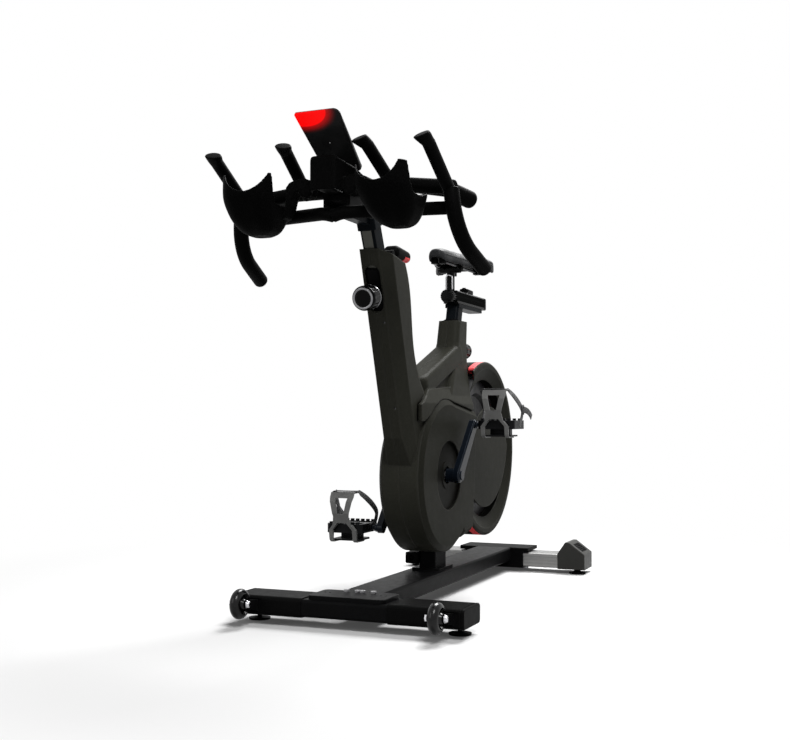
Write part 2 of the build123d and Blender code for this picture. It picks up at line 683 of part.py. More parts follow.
def upright_face(z, depth):
    """Plane on the flat front of the upright at height z, sunk by depth, facing forward."""
    lean = math.radians(UPRIGHT_LEAN)
    y = -341 + (826 - z) * math.tan(lean)
    normal = (0, -math.cos(lean), -math.sin(lean))
    origin = (0, y - depth * normal[1], z - depth * normal[2])
    return Plane(origin=origin, x_dir=(1, 0, 0), z_dir=normal)


def knob_plane(distance):
    """Plane across the handlebar knob, that far out from its base."""
    dip = math.radians(KNOB_DIP)
    normal = (0, -math.cos(dip), -math.sin(dip))
    origin = (0, KNOB_Y + distance * normal[1], KNOB_Z + distance * normal[2])
    return Plane(origin=origin, x_dir=(1, 0, 0), z_dir=normal)


def seat_knob_plane(distance):
    """Plane across the seat knob, that far back from its base, facing rearward."""
    return Plane(origin=(0, SEAT_KNOB_Y + distance, SEAT_KNOB_Z), x_dir=(1, 0, 0), z_dir=(0, 1, 0))


def tube_section(plane_at, width, depth, radius, low, high, mode=Mode.ADD):
    """Rounded section of a leaning tube between two distances along it."""
    with BuildSketch(plane_at(low)) as section:
        RectangleRounded(width, depth, radius)
    extrude(section.sketch, amount=high - low, mode=mode)


def turned(plane, radius, length, mode=Mode.ADD):
    with BuildSketch(plane) as round_face:
        Circle(radius)
    extrude(round_face.sketch, amount=length, mode=mode)


guide_width = POST_WIDTH + 2 * (SLIDE + BUSH_WALL + TUBE_STEEL)
guide_depth = POST_DEPTH + 2 * (SLIDE + BUSH_WALL + TUBE_STEEL)
GUIDE_TOP, GUIDE_BOTTOM = -8.0, -245.0
mast_width = 2 * PLATE_X1
mast_depth = SEAT_DEPTH + 2 * (SLIDE + BUSH_WALL + 3)
MAST_TOP, MAST_BOTTOM = -62.0, -262.0

with BuildPart() as body_shell:
    add(shell_outer.part)
    add(shell_inner.part, mode=Mode.SUBTRACT)
    # walled pocket in the front face round the height knob
    with BuildSketch(upright_face(738, POCKET_WALL_DEPTH)) as pocket_rim:
        RectangleRounded(2 * POCKET_HALF + 5, POCKET_LENGTH + 5, POCKET_HALF + 2)
    extrude(pocket_rim.sketch, amount=POCKET_WALL_DEPTH)
    with BuildSketch(upright_face(738, POCKET_WALL_DEPTH + 1)) as pocket_hole:
        RectangleRounded(2 * POCKET_HALF, POCKET_LENGTH, POCKET_HALF - 0.1)
    extrude(pocket_hole.sketch, amount=POCKET_WALL_DEPTH + 3, mode=Mode.SUBTRACT)
    tube_section(post_plane, guide_width + 2, guide_depth + 2, 13, GUIDE_BOTTOM - 5, GUIDE_TOP + 4, Mode.SUBTRACT)
    # mouth for the handlebar post and mouth for the seat post
    tube_section(post_plane, POST_WIDTH + 1.2, POST_DEPTH + 1.2, POST_CORNER + 0.6, GUIDE_TOP, 60, Mode.SUBTRACT)
    tube_section(seat_plane, SEAT_WIDTH + 5, SEAT_DEPTH + 5, 9, MAST_TOP - 4, -30, Mode.SUBTRACT)
    turned(seat_knob_plane(-10), KNOB_STEM_R + 6, 60, Mode.SUBTRACT)
    block(-STAND_HALF - SLIDE, STAND_HALF + SLIDE, STAND_Y0 - SLIDE, STAND_Y1 + SLIDE, 100, 150, Mode.SUBTRACT)
    disc(-FLYWHEEL_SLOT_HALF, FLYWHEEL_SLOT_HALF, FLYWHEEL_Y, FLYWHEEL_Z, FLYWHEEL_SLOT_R, Mode.SUBTRACT)
    for z in screw_heights:
        with BuildSketch(upright_face(z, 5)) as screw_holes:
            with Locations((15, 0)):
                Circle(2.6)
        extrude(screw_holes.sketch, amount=8, mode=Mode.SUBTRACT)

for name, keep in (("left", Keep.TOP), ("right", Keep.BOTTOM)):
    with BuildPart() as half_shell:
        add(body_shell.part)
        split(bisect_by=Plane.YZ, keep=keep)
    finish(half_shell.part, f"body_shell_{name}")

# ---- side covers ----

# each cover is a raised lid over the drive body that runs on as the disc over the flywheel
DISH_WALL = 3.0
FLANK_ANGLE = 52.0
with BuildSketch(Plane.YZ) as behind_valley:
    with BuildLine():
        Polyline(
            (VALLEY_TOP[0] - 6, VALLEY_TOP[1]), (VALLEY_TOP[0] - 16, 500), (VALLEY_TOP[0] - 12, 620),
            (620, 620), (620, 110), (VALLEY_BOTTOM[0] - 6, 110), (VALLEY_BOTTOM[0] - 6, VALLEY_BOTTOM[1]),
            close=True,
        )
    make_face()

with BuildPart() as left_cover:
    extrude(core_outline(CORE_HALF, 0, 0), amount=COVER_HEIGHT, taper=FLANK_ANGLE)
    extrude(core_outline(CORE_HALF, WALL, -WALL), amount=COVER_HEIGHT - WALL, taper=FLANK_ANGLE,
            mode=Mode.SUBTRACT)
    # disc over the flywheel, open towards the drive body
    with BuildSketch(Plane(origin=(0, FLYWHEEL_Y, FLYWHEEL_Z), x_dir=(1, 0, 0), z_dir=(0, -1, 0))) as dish_profile:
        with BuildLine():
            Polyline((DISH_X - DISH_WALL, 0), (DISH_X, 0), (DISH_X, REAR_R - 9))
            ThreePointArc((DISH_X, REAR_R - 9), (DISH_X - 1.5, REAR_R - 3), (CORE_HALF, REAR_R))
            Polyline(
                (CORE_HALF, REAR_R), (CORE_HALF, REAR_R - DISH_WALL),
                (DISH_X - DISH_WALL, REAR_R - DISH_WALL - 4), (DISH_X - DISH_WALL, 0),
            )
        make_face()
    with BuildPart(mode=Mode.PRIVATE) as dish:
        revolve(dish_profile.sketch, axis=Axis((0, FLYWHEEL_Y, FLYWHEEL_Z), (1, 0, 0)))
        extrude(behind_valley.sketch, amount=80, both=True, mode=Mode.INTERSECT)
    add(dish.part)
    # two crescent recesses with sloping outer banks, each open at its floor
    for shift_y, shift_z, radius in WINDOW_SHIFTS:
        centre = (FLYWHEEL_Y + shift_y, FLYWHEEL_Z + shift_z)
        with BuildSketch(side(30)) as recess:
            with Locations((FLYWHEEL_Y, FLYWHEEL_Z)):
                Circle(LIP_R)
            with Locations(centre):
                Circle(radius, mode=Mode.SUBTRACT)
        with BuildSketch(side(30)) as recess_outer:
            with Locations((FLYWHEEL_Y, FLYWHEEL_Z)):
                Circle(LIP_R + DISH_WALL)
            with Locations(centre):
                Circle(radius - DISH_WALL, mode=Mode.SUBTRACT)
        bank = math.degrees(math.atan2(LIP_R - WINDOW_R, DISH_X - RECESS_FLOOR))
        with BuildPart(mode=Mode.PRIVATE) as bank_ring:
            disc(RECESS_FLOOR, DISH_X, FLYWHEEL_Y, FLYWHEEL_Z, LIP_R + DISH_WALL)
            with BuildSketch(side(RECESS_FLOOR)) as cone_floor:
                with Locations((FLYWHEEL_Y, FLYWHEEL_Z)):
                    Circle(WINDOW_R)
            extrude(cone_floor.sketch, amount=DISH_X - RECESS_FLOOR, taper=-bank, mode=Mode.SUBTRACT)
            with BuildSketch(side(RECESS_FLOOR)) as under:
                with Locations((FLYWHEEL_Y, FLYWHEEL_Z)):
                    Circle(LIP_R + 60)
                    Circle(WINDOW_R + DISH_WALL, mode=Mode.SUBTRACT)
            extrude(under.sketch, amount=DISH_X - RECESS_FLOOR, taper=bank, mode=Mode.SUBTRACT)
            extrude(recess_outer.sketch, amount=60, mode=Mode.INTERSECT)
            extrude(behind_valley.sketch, amount=80, both=True, mode=Mode.INTERSECT)
        with BuildPart(mode=Mode.PRIVATE) as recess_void:
            extrude(recess.sketch, amount=60)
            extrude(behind_valley.sketch, amount=80, both=True, mode=Mode.INTERSECT)
        add(recess_void.part, mode=Mode.SUBTRACT)
        add(bank_ring.part)
    # round opening for the crank disc, with a bevelled edge
    disc(CORE_HALF, CORE_HALF + 20, CRANK_Y, CRANK_Z, RECESS_R, Mode.SUBTRACT)
finish(left_cover.part, "side_cover_left")

with BuildPart() as right_cover:
    mirror(left_cover.part, about=Plane.YZ)
finish(right_cover.part, "side_cover_right")

CRANK_DISC_THICK = 3.0
with BuildPart() as crank_discs:
    for sign in (-1, 1):
        x0 = sign * CORE_HALF
        x1 = sign * (CORE_HALF + CRANK_DISC_THICK)
        x2 = sign * (CORE_HALF + COVER_HEIGHT - WALL)
        disc(x0, x1, CRANK_Y, CRANK_Z, RECESS_R + 6)
        disc(x1, x2, CRANK_Y, CRANK_Z, RECESS_R + 6)
        disc(x1, x2, CRANK_Y, CRANK_Z, RECESS_R + 1, Mode.SUBTRACT)
        disc(x1, x2 - sign * 3, CRANK_Y, CRANK_Z, 34)
        disc(x0, x2, CRANK_Y, CRANK_Z, 22, Mode.SUBTRACT)
finish(crank_discs.part, "crank_discs")

# ---- band round the flywheel, and its coloured stripes ----

BAND_THICK = 5.0
with BuildSketch(Plane.YZ) as band_face:
    with Locations((FLYWHEEL_Y, FLYWHEEL_Z)):
        Circle(REAR_R)
        Circle(REAR_R - BAND_THICK, mode=Mode.SUBTRACT)
    with BuildLine():
        Polyline(
            VALLEY_TOP, (252, 480), (252, 640), (90, 640), (90, 100), (VALLEY_BOTTOM[0] + SEAM, 100),
            (VALLEY_BOTTOM[0] + SEAM, VALLEY_BOTTOM[1]), close=True,
        )
    make_face(mode=Mode.SUBTRACT)

with BuildPart() as flywheel_band:
    extrude(band_face.sketch, amount=STRIPE_X, both=True)
finish(flywheel_band.part, "flywheel_band")

with BuildPart() as flywheel_stripes:
    for sign in (-1, 1):
        extrude(band_face.sketch.moved(Location((sign * STRIPE_X, 0, 0))), amount=sign * (CORE_HALF - STRIPE_X))
finish(flywheel_stripes.part, "flywheel_stripes")

# ---- frame ----

BB_R, BB_BORE = 27.0, 20.0
JACK_BEARING_R, AXLE_BEARING_R = 15.0, 15.0
PIVOT_Y, PIVOT_Z, PIVOT_R = 205.0, 515.0, 5.0
spine_outline = [(-232, 582.8), (-177.4, 607.6), (-127, 505), (5, 395), (5, 320), (-40, 320), (-62, 335)]

with BuildPart() as frame_solid:
    # spine under the handlebar guide
    outline_prism(spine_outline, -guide_width / 2, guide_width / 2)
    with BuildSketch(side(-guide_width / 2 + TUBE_STEEL)) as spine_void:
        with BuildLine():
            Polyline(*spine_outline, close=True)
        make_face()
        offset(amount=-TUBE_STEEL)
    extrude(spine_void.sketch, amount=guide_width - 2 * TUBE_STEEL, mode=Mode.SUBTRACT)
    tube_section(post_plane, guide_width, guide_depth, 11, GUIDE_BOTTOM, GUIDE_TOP)
    tube_section(
        post_plane, guide_width - 2 * TUBE_STEEL, guide_depth - 2 * TUBE_STEEL, POST_CORNER + SLIDE + BUSH_WALL,
        GUIDE_BOTTOM - 40, GUIDE_TOP, Mode.SUBTRACT,
    )
    turned(knob_plane(-6), 12, 26)
    tube_section(
        post_plane, guide_width - 2 * TUBE_STEEL, guide_depth - 2 * TUBE_STEEL, POST_CORNER + SLIDE + BUSH_WALL,
        GUIDE_BOTTOM - 40, GUIDE_TOP, Mode.SUBTRACT,
    )
    turned(knob_plane(-20), KNOB_STEM_R + FIT, 60, Mode.SUBTRACT)
    # drop-out plates from the crank to the flywheel, with a branch to the seat mast
    for sign in (-1, 1):
        with BuildSketch(side(sign * PLATE_X0)) as plate:
            with Locations((CRANK_Y, CRANK_Z)):
                Circle(46)
            with Locations((JACK_Y, JACK_Z)):
                Circle(30)
            with Locations((FLYWHEEL_Y, FLYWHEEL_Z)):
                Circle(30)
            make_hull()
            with BuildLine():
                Polyline((95, 330), (118, 520), (PIVOT_Y - 6, 524), (PIVOT_Y - 2, 500), (165, 440), (165, 330),
                         close=True)
            make_face()
            with Locations((PIVOT_Y, PIVOT_Z)):
                Circle(11)
            with BuildLine():
                Polyline((-15, 320), (STAND_Y0, STAND_TOP), (STAND_Y1, STAND_TOP), (110, 300), close=True)
            make_face()
            with BuildLine():
                Polyline((-62, 335), (-70, 365), (0, 400), (60, 345), (60, 300), (-15, 300), close=True)
            make_face()
            with Locations((CRANK_Y, CRANK_Z)):
                Circle(BB_BORE + FIT, mode=Mode.SUBTRACT)
            with Locations((JACK_Y, JACK_Z)):
                Circle(JACK_BEARING_R + FIT, mode=Mode.SUBTRACT)
            with Locations((FLYWHEEL_Y, FLYWHEEL_Z)):
                Circle(AXLE_BEARING_R + FIT, mode=Mode.SUBTRACT)
            with Locations((PIVOT_Y, PIVOT_Z)):
                Circle(PIVOT_R + FIT, mode=Mode.SUBTRACT)
        extrude(plate.sketch, amount=sign * (PLATE_X1 - PLATE_X0))
    with BuildSketch(side(-PLATE_X1)) as shell_ring:
        with Locations((CRANK_Y, CRANK_Z)):
            Circle(BB_R)
            Circle(BB_BORE + FIT, mode=Mode.SUBTRACT)
    extrude(shell_ring.sketch, amount=2 * PLATE_X1)
    block(-PLATE_X1, PLATE_X1, STAND_Y0, STAND_Y1, STAND_TOP, STAND_TOP + 6)
    # seat mast
    tube_section(seat_plane, mast_width, mast_depth, 8, MAST_BOTTOM, MAST_TOP)
    tube_section(
        seat_plane, SEAT_WIDTH + 2 * (SLIDE + BUSH_WALL), SEAT_DEPTH + 2 * (SLIDE + BUSH_WALL),
        SEAT_CORNER + SLIDE + BUSH_WALL, MAST_BOTTOM - 70, MAST_TOP, Mode.SUBTRACT,
    )
    turned(seat_knob_plane(-12), 11, 26)
    tube_section(
        seat_plane, SEAT_WIDTH + 2 * (SLIDE + BUSH_WALL), SEAT_DEPTH + 2 * (SLIDE + BUSH_WALL),
        SEAT_CORNER + SLIDE + BUSH_WALL, MAST_BOTTOM - 70, MAST_TOP, Mode.SUBTRACT,
    )
    turned(seat_knob_plane(-40), KNOB_STEM_R + FIT, 80, Mode.SUBTRACT)
finish(frame_solid.part, "main_frame")


def bush(plane_at, width, depth, corner, low, high, flange):
    """Sliding liner of a guide tube, with a collar on its mouth."""
    outer = SLIDE + BUSH_WALL
    tube_section(plane_at, width + 2 * outer, depth + 2 * outer, corner + outer, low, high)
    collar = outer + flange
    tube_section(plane_at, width + 2 * collar, depth + 2 * collar, corner + collar, high, high + 3)
    tube_section(plane_at, width + 2 * SLIDE, depth + 2 * SLIDE, corner + SLIDE, low - 1, high + 4, Mode.SUBTRACT)


with BuildPart() as handlebar_bush:
    bush(post_plane, POST_WIDTH, POST_DEPTH, POST_CORNER, GUIDE_TOP - 90, GUIDE_TOP, 3)
    turned(knob_plane(-30), KNOB_STEM_R + 1, 60, Mode.SUBTRACT)

with BuildPart() as seat_bush:
    bush(seat_plane, SEAT_WIDTH, SEAT_DEPTH, SEAT_CORNER, MAST_TOP - 110, MAST_TOP, 2.5)
    turned(seat_knob_plane(-50), KNOB_STEM_R + 1, 90, Mode.SUBTRACT)

# ears on the upper liner that carry the resistance lever
LEVER_Y, LEVER_Z = -236.0, 828.0
LEVER_HALF, EAR_THICK, LEVER_PIN_R = 12.0, 3.5, 4.0
with BuildPart() as lever_ears:
    for sign in (-1, 1):
        x0 = sign * (LEVER_HALF + SLIDE)
        with BuildSketch(side(x0)) as lever_ear:
            with BuildLine():
                Polyline((-252, 805), (-222, 800), (LEVER_Y + 8, LEVER_Z), (LEVER_Y - 8, LEVER_Z), close=True)
            make_face()
            with Locations((LEVER_Y, LEVER_Z)):
                Circle(8)
        extrude(lever_ear.sketch, amount=sign * EAR_THICK)
    disc(-LEVER_HALF - EAR_THICK, LEVER_HALF + EAR_THICK, LEVER_Y, LEVER_Z, LEVER_PIN_R)
    add(shell_outer.part, mode=Mode.SUBTRACT)

with BuildPart() as guide_bushes:
    add(handlebar_bush.part)
    add(seat_bush.part)
    add(lever_ears.part)
finish(guide_bushes.part, "guide_bushes")

# ---- drive ----

shafts = (
    (CRANK_Y, CRANK_Z, SPINDLE_R, BB_BORE),
    (JACK_Y, JACK_Z, JACK_R, JACK_BEARING_R),
    (FLYWHEEL_Y, FLYWHEEL_Z, AXLE_R, AXLE_BEARING_R),
)
with BuildPart() as shaft_bearings:
    for y, z, bore, outer in shafts:
        for sign in (-1, 1):
            inner_x = sign * (PLATE_X0 - 3)
            outer_x = sign * (PLATE_X1 + 1)
            disc(inner_x, outer_x, y, z, outer)
            disc(inner_x, outer_x, y, z, bore + FIT, Mode.SUBTRACT)
finish(shaft_bearings.part, "shaft_bearings")


def pulley(y, z, radius, x0, x1, bore):
    """Ribbed belt pulley between x0 and x1, with spokes when it is large."""
    low, high = min(x0, x1), max(x0, x1)
    with BuildSketch(Plane(origin=(0, y, z), x_dir=(1, 0, 0), z_dir=(0, -1, 0))) as section:
        with BuildLine():
            Polyline(
                (low, bore), (low, radius + 2), (low + 1.5, radius + 2), (low + 1.5, radius),
                (high - 1.5, radius), (high - 1.5, radius + 2), (high, radius + 2), (high, bore), close=True,
            )
        make_face()
    revolve(section.sketch, axis=Axis((0, y, z), (1, 0, 0)))
    if radius > 50:
        with BuildSketch(side(low)) as holes:
            with Locations((y, z)):
                with PolarLocations(radius * 0.58, 6):
                    Circle(radius * 0.2)
        extrude(holes.sketch, amount=high - low, mode=Mode.SUBTRACT)


with BuildPart() as crank_spindle:
    disc(-ARM_X1 + 6, ARM_X1 - 6, CRANK_Y, CRANK_Z, SPINDLE_R)
finish(crank_spindle.part, "crank_spindle")

with BuildPart() as crank_pulley:
    pulley(CRANK_Y, CRANK_Z, CRANK_PULLEY_R, -PULLEY_X1, -PULLEY_X0, SPINDLE_R + FIT)
finish(crank_pulley.part, "crank_pulley")

with BuildPart() as jackshaft:
    disc(-PULLEY_X1, PULLEY_X1, JACK_Y, JACK_Z, JACK_R)
    pulley(JACK_Y, JACK_Z, JACK_SMALL_R, -PULLEY_X1, -PULLEY_X0, 1)
    pulley(JACK_Y, JACK_Z, JACK_LARGE_R, PULLEY_X0, PULLEY_X1, 1)
finish(jackshaft.part, "jackshaft")

with BuildPart() as flywheel:
    with BuildSketch(Plane(origin=(0, FLYWHEEL_Y, FLYWHEEL_Z), x_dir=(1, 0, 0), z_dir=(0, -1, 0))):
        with BuildLine():
            Polyline(
                (-FLYWHEEL_HALF, FLYWHEEL_R - 2), (-FLYWHEEL_HALF, FLYWHEEL_R - 38), (-5, FLYWHEEL_R - 46),
                (-5, 34), (-FLYWHEEL_HALF, 26), (-FLYWHEEL_HALF, AXLE_R + FIT), (FLYWHEEL_HALF, AXLE_R + FIT),
                (FLYWHEEL_HALF, 26), (5, 34), (5, FLYWHEEL_R - 46), (FLYWHEEL_HALF, FLYWHEEL_R - 38),
                (FLYWHEEL_HALF, FLYWHEEL_R - 2), (FLYWHEEL_HALF - 2, FLYWHEEL_R),
                (-FLYWHEEL_HALF + 2, FLYWHEEL_R), close=True,
            )
        make_face()
    revolve(axis=Axis((0, FLYWHEEL_Y, FLYWHEEL_Z), (1, 0, 0)))
finish(flywheel.part, "flywheel")

with BuildPart() as flywheel_axle:
    disc(-PLATE_X1 - 4, PULLEY_X1, FLYWHEEL_Y, FLYWHEEL_Z, AXLE_R)
    pulley(FLYWHEEL_Y, FLYWHEEL_Z, FLYWHEEL_PULLEY_R, PULLEY_X0, PULLEY_X1, 1)
finish(flywheel_axle.part, "flywheel_axle")


def belt(x0, x1, wheel_a, wheel_b):
    """Closed belt round two pulleys, each given as y, z, radius."""
    with BuildSketch(side(min(x0, x1) + 2)) as loop:
        for y, z, radius in (wheel_a, wheel_b):
            with Locations((y, z)):
                Circle(radius + SLIDE + BELT_THICKNESS)
        make_hull()
    with BuildSketch(side(min(x0, x1) + 2)) as hollow:
        for y, z, radius in (wheel_a, wheel_b):
            with Locations((y, z)):
                Circle(radius + SLIDE)
        make_hull()
    extrude(loop.sketch, amount=abs(x1 - x0) - 4)
    extrude(hollow.sketch, amount=abs(x1 - x0) - 4, mode=Mode.SUBTRACT)


with BuildPart() as drive_belts:
    belt(-PULLEY_X1, -PULLEY_X0, (CRANK_Y, CRANK_Z, CRANK_PULLEY_R), (JACK_Y, JACK_Z, JACK_SMALL_R))
    belt(PULLEY_X0, PULLEY_X1, (JACK_Y, JACK_Z, JACK_LARGE_R), (FLYWHEEL_Y, FLYWHEEL_Z, FLYWHEEL_PULLEY_R))
finish(drive_belts.part, "drive_belts")

# magnet carrier over the flywheel rim
MAGNET_GAP = 2.0
RIM_GAP = 11.0
SHOE_HALF = 25.0
with BuildPart() as brake_carrier:
    # shoe that straddles the rim
    with BuildSketch(side(-SHOE_HALF)) as shoe_face:
        with Locations((FLYWHEEL_Y, FLYWHEEL_Z)):
            Circle(FLYWHEEL_R + 21)
            Circle(FLYWHEEL_R - 34, mode=Mode.SUBTRACT)
        with BuildLine():
            Polyline((FLYWHEEL_Y, FLYWHEEL_Z), (32, 873), (195, 943), close=True)
        make_face(mode=Mode.INTERSECT)
    extrude(shoe_face.sketch, amount=2 * SHOE_HALF)
    # arm from its pivot between the drop-out plates
    with BuildSketch(side(-PLATE_X0 + 1)) as arm_profile:
        with Locations((PIVOT_Y, PIVOT_Z)):
            Circle(9)
        with BuildLine():
            Polyline((PIVOT_Y - 3, PIVOT_Z + 8.5), (PIVOT_Y + 7, PIVOT_Z - 6), (262, 530), (260, 555), close=True)
        make_face()
    extrude(arm_profile.sketch, amount=2 * (PLATE_X0 - 1))
    disc(-FLYWHEEL_HALF - MAGNET_GAP, FLYWHEEL_HALF + MAGNET_GAP, FLYWHEEL_Y, FLYWHEEL_Z, FLYWHEEL_R + RIM_GAP,
         Mode.SUBTRACT)
    disc(-PLATE_X1, PLATE_X1, PIVOT_Y, PIVOT_Z, PIVOT_R)
finish(brake_carrier.part, "brake_carrier")

# ---- crank arms ----

arm_angle = math.radians(CRANK_ANGLE)
for sign in (1, -1):
    pedal_y = CRANK_Y + sign * CRANK_LENGTH * math.cos(arm_angle)
    pedal_z = CRANK_Z + sign * CRANK_LENGTH * math.sin(arm_angle)
    with BuildPart() as crank_arm:
        with BuildSketch(side(sign * ARM_X0)) as arm_face:
            with Locations((CRANK_Y, CRANK_Z)):
                Circle(19)
            with Locations((pedal_y, pedal_z)):
                Circle(13)
            make_hull()
        extrude(arm_face.sketch, amount=sign * (ARM_X1 - ARM_X0))
        outer = crank_arm.faces().sort_by(Axis.X)[-1 if sign > 0 else 0]
        chamfer(outer.edges(), 3)
        disc(sign * (CORE_HALF + 6), sign * ARM_X0, CRANK_Y, CRANK_Z, 17)
        disc(sign * (CORE_HALF + 5), sign * (ARM_X1 - 6 + 0.2), CRANK_Y, CRANK_Z, SPINDLE_R + FIT, Mode.SUBTRACT)
        disc(sign * ARM_X1, sign * (ARM_X1 + 4), CRANK_Y, CRANK_Z, 12)
        disc(sign * ARM_X1, sign * (ARM_X1 + 4), pedal_y, pedal_z, 10)
        disc(sign * (ARM_X1 + 4), sign * (PEDAL_X1 - 9), pedal_y, pedal_z, PEDAL_AXLE_R)
    crank_arms.append(crank_arm.part)

with BuildPart() as arm_pair:
    add(crank_arms)
finish(arm_pair.part, "crank_arms")

# ---- pedals: body, toe cage and strap ----

BODY_HALF_HEIGHT = 11.0
CAGE_TOP_Z, CAGE_TOP_Y, CAGE_FOOT_Z, CAGE_FOOT_Y = 88.0, -59.0, -33.0, -54.0
CAGE_THICK = 3.0
pedal_middle = (PEDAL_X0 + PEDAL_X1) / 2
pedal_half = (PEDAL_X1 - PEDAL_X0) / 2

for name, sign in (("left", 1), ("right", -1)):
    pedal_y = CRANK_Y + sign * CRANK_LENGTH * math.cos(arm_angle)
    pedal_z = CRANK_Z + sign * CRANK_LENGTH * math.sin(arm_angle)
    middle = sign * pedal_middle

    with BuildPart() as pedal:
        with BuildSketch(level(pedal_z - BODY_HALF_HEIGHT)) as ring:
            with Locations((middle, pedal_y)):
                RectangleRounded(2 * pedal_half, PEDAL_DEPTH, 12)
                with GridLocations(0, PEDAL_DEPTH - 43, 1, 2):
                    RectangleRounded(2 * pedal_half - 16, 27, 6, mode=Mode.SUBTRACT)
        extrude(ring.sketch, amount=2 * BODY_HALF_HEIGHT)
        # toothed treads front and rear, and the broad plate under them
        for end in (-1, 1):
            with BuildSketch(level(pedal_z + BODY_HALF_HEIGHT)) as tread:
                with Locations((middle, pedal_y + end * (PEDAL_DEPTH / 2 - 4))):
                    with GridLocations(14, 1, 6, 1):
                        Rectangle(8, 6)
            extrude(tread.sketch, amount=5)
        with BuildSketch(level(pedal_z - 30)) as lower_plate:
            with Locations((middle, pedal_y - 8)):
                RectangleRounded(2 * pedal_half - 22, PEDAL_DEPTH - 30, 8)
                with GridLocations(0, 30, 1, 2):
                    SlotOverall(46, 12, mode=Mode.SUBTRACT)
        extrude(lower_plate.sketch, amount=4)
        block(middle - 26, middle + 26, pedal_y - 10, pedal_y + 10, pedal_z - 27, pedal_z - 6)
        disc(sign * (PEDAL_X0 - 6 + SLIDE), sign * PEDAL_X0, pedal_y, pedal_z, 10)
        disc(sign * (PEDAL_X0 - 7), sign * (PEDAL_X1 - 8), pedal_y, pedal_z, PEDAL_AXLE_R + FIT, Mode.SUBTRACT)
    finish(pedal.part, f"pedal_{name}")

    with BuildPart() as toe_cage:
        with BuildSketch(front(pedal_y)) as cage_front:
            with Locations((middle, pedal_z)):
                Polygon(
                    (-31, CAGE_TOP_Z), (31, CAGE_TOP_Z), (31, CAGE_TOP_Z - 12), (20, 30), (24, 10),
                    (36, -4), (36, CAGE_FOOT_Z), (-36, CAGE_FOOT_Z), (-36, -4), (-24, 10), (-20, 30),
                    (-31, CAGE_TOP_Z - 12), align=None)
                Polygon((-16, CAGE_TOP_Z - 14), (16, CAGE_TOP_Z - 14), (8, 36), (-8, 36), align=None,
                        mode=Mode.SUBTRACT)
                Polygon((-26, CAGE_FOOT_Z - 1), (-26, -4), (-12, 14), (12, 14), (26, -4), (26, CAGE_FOOT_Z - 1), align=None,
                        mode=Mode.SUBTRACT)
        extrude(cage_front.sketch, amount=120)
        with BuildSketch(side(0)) as cage_side:
            with Locations((pedal_y, pedal_z)):
                nose = PEDAL_DEPTH / 2
                Polygon(
                    (-nose, 9), (-nose, -9), (-nose - 2, CAGE_FOOT_Z + 6), (-nose + 4, CAGE_FOOT_Z + CAGE_THICK),
                    (-8, CAGE_FOOT_Z + CAGE_THICK), (-8, CAGE_FOOT_Z), (-nose + 2, CAGE_FOOT_Z),
                    (-nose - 5, CAGE_FOOT_Z + 6), (-nose - 9, -4), (-nose - 21, 38), (-nose - 19, 66),
                    (-nose - 6, CAGE_TOP_Z), (-nose + 12, CAGE_TOP_Z), (-nose + 12, CAGE_TOP_Z - CAGE_THICK),
                    (-nose - 5, CAGE_TOP_Z - CAGE_THICK), (-nose - 16, 65), (-nose - 18, 39),
                    (-nose - 6, 0), (-nose - 5, 9), align=None)
        extrude(cage_side.sketch, amount=300, both=True, mode=Mode.INTERSECT)
    finish(toe_cage.part, f"toe_cage_{name}")

    with BuildPart() as toe_strap:
        with BuildSketch(front(pedal_y - 80)) as strap_front:
            with Locations((middle, pedal_z)):
                Polygon(
                    (-pedal_half - 3, 4), (-pedal_half - 3, 30), (-33, CAGE_TOP_Z + 2.4),
                    (33, CAGE_TOP_Z + 2.4), (pedal_half + 3, 30), (pedal_half + 3, 4),
                    (pedal_half + SLIDE, 4), (pedal_half + SLIDE, 29), (31.8, CAGE_TOP_Z + SLIDE),
                    (-31.8, CAGE_TOP_Z + SLIDE), (-pedal_half - SLIDE, 29), (-pedal_half - SLIDE, 4),
                    align=None)
        extrude(strap_front.sketch, amount=-200)
        with BuildSketch(side(0)) as strap_side:
            with Locations((pedal_y, pedal_z)):
                Polygon((-56, 92), (-38, 92), (-22, 74), (30, 24), (40, 4), (26, 4), (20, 16), (-34, 66), (-56, 84), align=None)
        extrude(strap_side.sketch, amount=300, both=True, mode=Mode.INTERSECT)
    finish(toe_strap.part, f"toe_strap_{name}")

# ---- handlebar post ----

HEAD_Z0, HEAD_Z1 = 872.0, 886.0
RAIL_HALF, RAIL_Y0, RAIL_Y1, RAIL_TOP = 16.0, -472.0, -300.0, 900.0
with BuildPart() as handlebar_post:
    tube_section(post_plane, POST_WIDTH, POST_DEPTH, POST_CORNER, POST_BOTTOM, POST_TOP)
    tube_section(post_plane, POST_WIDTH - 8, POST_DEPTH - 8, 4, POST_BOTTOM - 1, POST_TOP - 6, Mode.SUBTRACT)
    with BuildSketch(post_plane(POST_BOTTOM)) as strip_slot:
        with Locations((0, -POST_DEPTH / 2)):
            Rectangle(23, 2.4)
    extrude(strip_slot.sketch, amount=POST_TOP - POST_BOTTOM - 20, mode=Mode.SUBTRACT)

with BuildPart() as scale_strip:
    with BuildSketch(post_plane(POST_BOTTOM + 10)) as strip:
        with Locations((0, -POST_DEPTH / 2 + 0.6)):
            Rectangle(22.6, 1.2)
    extrude(strip.sketch, amount=POST_TOP - POST_BOTTOM - 42)
finish(scale_strip.part, "scale_strip")

